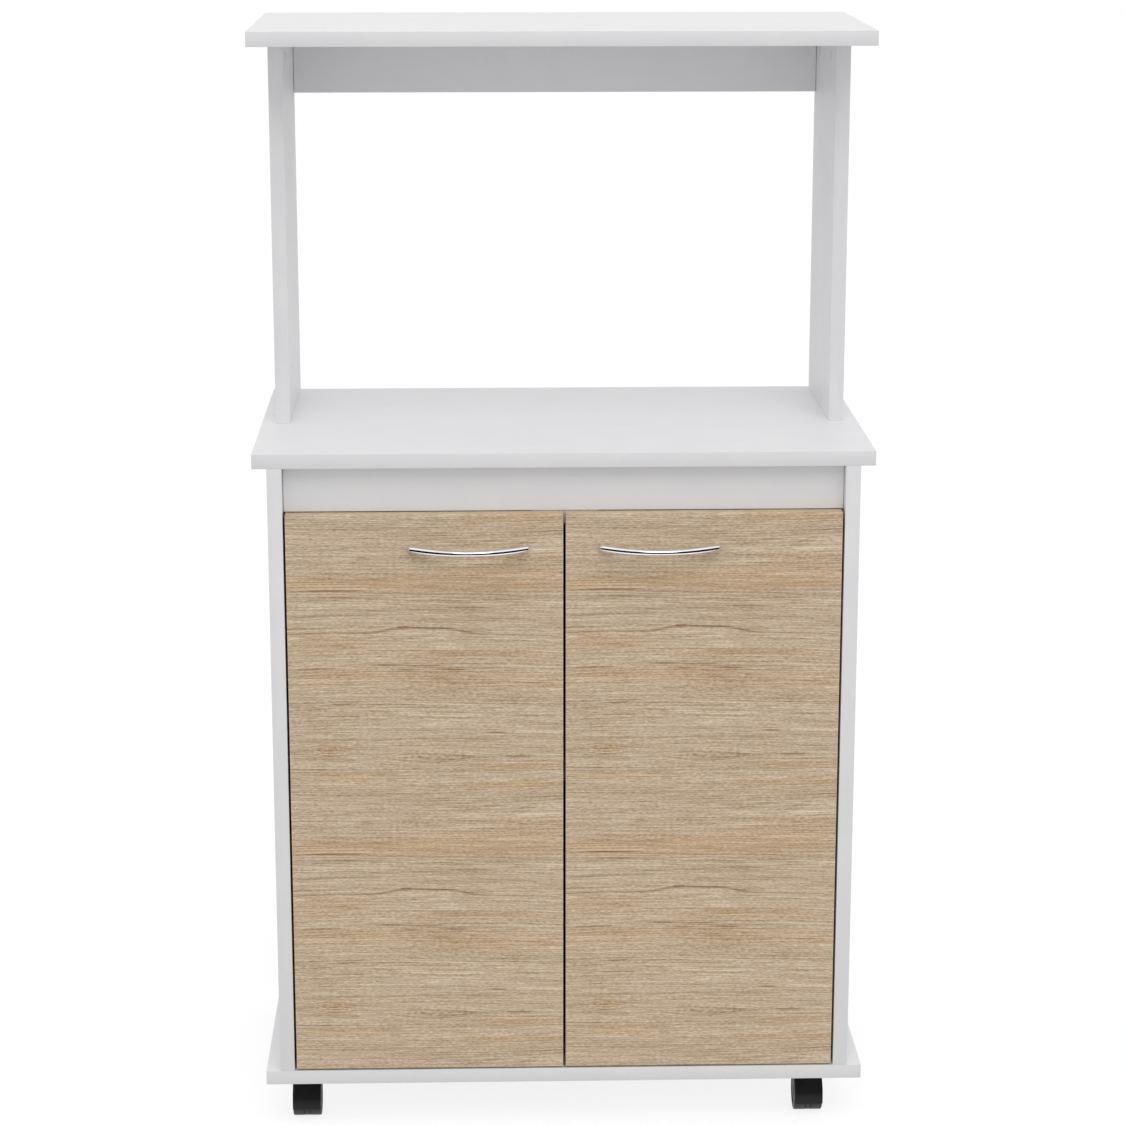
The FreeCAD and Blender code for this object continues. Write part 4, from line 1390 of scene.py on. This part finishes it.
@dataclass
class Studio:
    """The floor, the light and the camera."""

    floor_reach: float = 60.0
    floor_colour: Colour = (0.64, 0.64, 0.64)
    floor_seen_colour: Colour = (0.22, 0.22, 0.22)
    floor_lift: float = 0.84
    flag_near: float = 1.1
    flag_far: float = 3.5
    flag_top: float = 5.5
    flag_side_top: float = 0.28
    flag_slope: float = 1.15
    flag_level: float = 1.0 * MM
    flag_sides: int = 96
    flag_colour: Colour = (0.012, 0.013, 0.016)
    sky_strength: float = 0.725
    lamp_size: float = 4.5
    lamp_place: Triple = (0.4, -4.0, 6.0)
    lamp_aim: Triple = (0.0, 0.0, 0.6)
    lamp_watts: float = 122.0
    lens: float = 96.817
    sensor: float = 36.0
    camera_place: Triple = (-0.08676, -3.14733, 1.35234)
    camera_pitch: float = 0.24187
    camera_yaw: float = 0.0284

    def build(self) -> None:
        """Sets up the whole studio."""
        self.floor()
        self.flag()
        self.sky()
        self.lamp()
        self.camera()
        bpy.context.scene.view_settings.view_transform = "Standard"

    @staticmethod
    def seen_directly(shader: Shader) -> Socket:
        """Tells what the camera sees, straight or in gloss and glass, from what only gives light.

        Args:
            shader: The material or world.

        Returns:
            The value socket, 1 for what is seen.
        """
        path = shader.node("LightPath")
        gloss = shader.maths("MAXIMUM", path.outputs["Is Camera Ray"], path.outputs["Is Glossy Ray"])
        return shader.maths("MAXIMUM", gloss, path.outputs["Is Transmission Ray"])

    def floor(self) -> None:
        """Lays a pale floor that shows white and keeps the object's shadow."""
        Bench.clear()
        bpy.ops.mesh.primitive_plane_add(size=self.floor_reach, location=(0.0, 0.0, 0.0))
        floor = Bench.named("studio_floor")
        shader = Shader(bpy.data.materials.new("studio_floor"))
        seen = self.seen_directly(shader)
        shader.set(Base_Color=shader.blend(seen, self.floor_colour, self.floor_seen_colour), Roughness=1.0,
                   Specular_IOR_Level=0.0, Emission_Color=WHITE,
                   Emission_Strength=shader.maths("MULTIPLY", seen, self.floor_lift))
        floor.data.materials.append(shader.owner)

    def flag(self) -> None:
        """Stands a dark flag round the front that shows in gloss alone, for the chrome's dark line."""
        Bench.clear()
        bpy.ops.mesh.primitive_cylinder_add(vertices=self.flag_sides, radius=self.flag_far,
                                            depth=self.flag_top, end_fill_type="NOTHING",
                                            location=(0.0, 0.0, self.flag_level + self.flag_top / 2))
        flag = Bench.named("studio_flag")
        inwards = self.flag_near / self.flag_far
        middle = (0.0, 0.0, self.flag_level)

        def is_foot(edge: bmesh.types.BMEdge) -> bool:
            """Picks the flag's lower edge."""
            return all(vert.co.z < self.flag_top / 2 for vert in edge.verts)
        Bench.edit(flag, Element.EDGE, is_foot, lambda: bpy.ops.mesh.extrude_edges_move(),
                   lambda: bpy.ops.transform.resize(value=(inwards, inwards, 1.0), center_override=middle))
        Bench.edit(flag, Element.FACE, every,
                   lambda: bpy.ops.mesh.bisect(plane_co=(0.0, 0.0, self.flag_side_top),
                                               plane_no=(0.0, self.flag_slope, 1.0), clear_outer=True))
        shader = Shader(bpy.data.materials.new("studio_flag"))
        shader.set(Base_Color=self.flag_colour, Roughness=1.0, Specular_IOR_Level=0.0)
        flag.data.materials.append(shader.owner)
        flag.visible_camera = False
        flag.visible_diffuse = False
        flag.visible_transmission = False
        flag.visible_shadow = False

    def sky(self) -> None:
        """Fills the world with even light, which shows as white."""
        shader = Shader(bpy.data.worlds.new("studio_sky"), "BACKGROUND")
        bpy.context.scene.world = shader.owner
        level = shader.span(self.seen_directly(shader), (0.0, 1.0), (self.sky_strength, 1.0))
        shader.set(Color=WHITE, Strength=level)

    def lamp(self) -> None:
        """Hangs one broad soft lamp above and before the cabinet."""
        Bench.clear()
        aim = Vector(self.lamp_aim) - Vector(self.lamp_place)
        turn = aim.to_track_quat("-Z", "Y").to_euler()
        bpy.ops.object.light_add(type="AREA", location=self.lamp_place, rotation=turn)
        lamp = bpy.context.object
        lamp.name = "studio_lamp"
        lamp.data.size = self.lamp_size
        lamp.data.energy = self.lamp_watts
        Bench.clear()

    def camera(self) -> None:
        """Stands the camera where the photograph was taken from."""
        Bench.clear()
        turn = (math.pi / 2 - self.camera_pitch, 0.0, -self.camera_yaw)
        bpy.ops.object.camera_add(location=self.camera_place, rotation=turn)
        camera = bpy.context.object
        camera.name = "studio_camera"
        camera.data.sensor_width = self.sensor
        camera.data.lens = self.lens
        camera.data.clip_end = 2.0 * self.floor_reach
        bpy.context.scene.camera = camera
        Bench.clear()


def main() -> None:
    """Builds the cabinet's looks in order and reports each piece."""
    logging.basicConfig(level=logging.INFO, format="%(name)s: %(message)s")
    Bench.clear()
    pieces = Carcass().build()
    for side in Side:
        pieces += Door(side).build()
    for end in End:
        for side in Side:
            pieces += Caster(end, side).build()
    hardware = Hardware()
    pieces += hardware.build()
    for piece in pieces:
        LOG.info("%s: %d faces", piece.name, len(piece.data.polygons))
    for node in hardware.dress():
        LOG.info("%s keeps its shape", node)
    Studio().build()


if __name__ == "__main__":
    main()
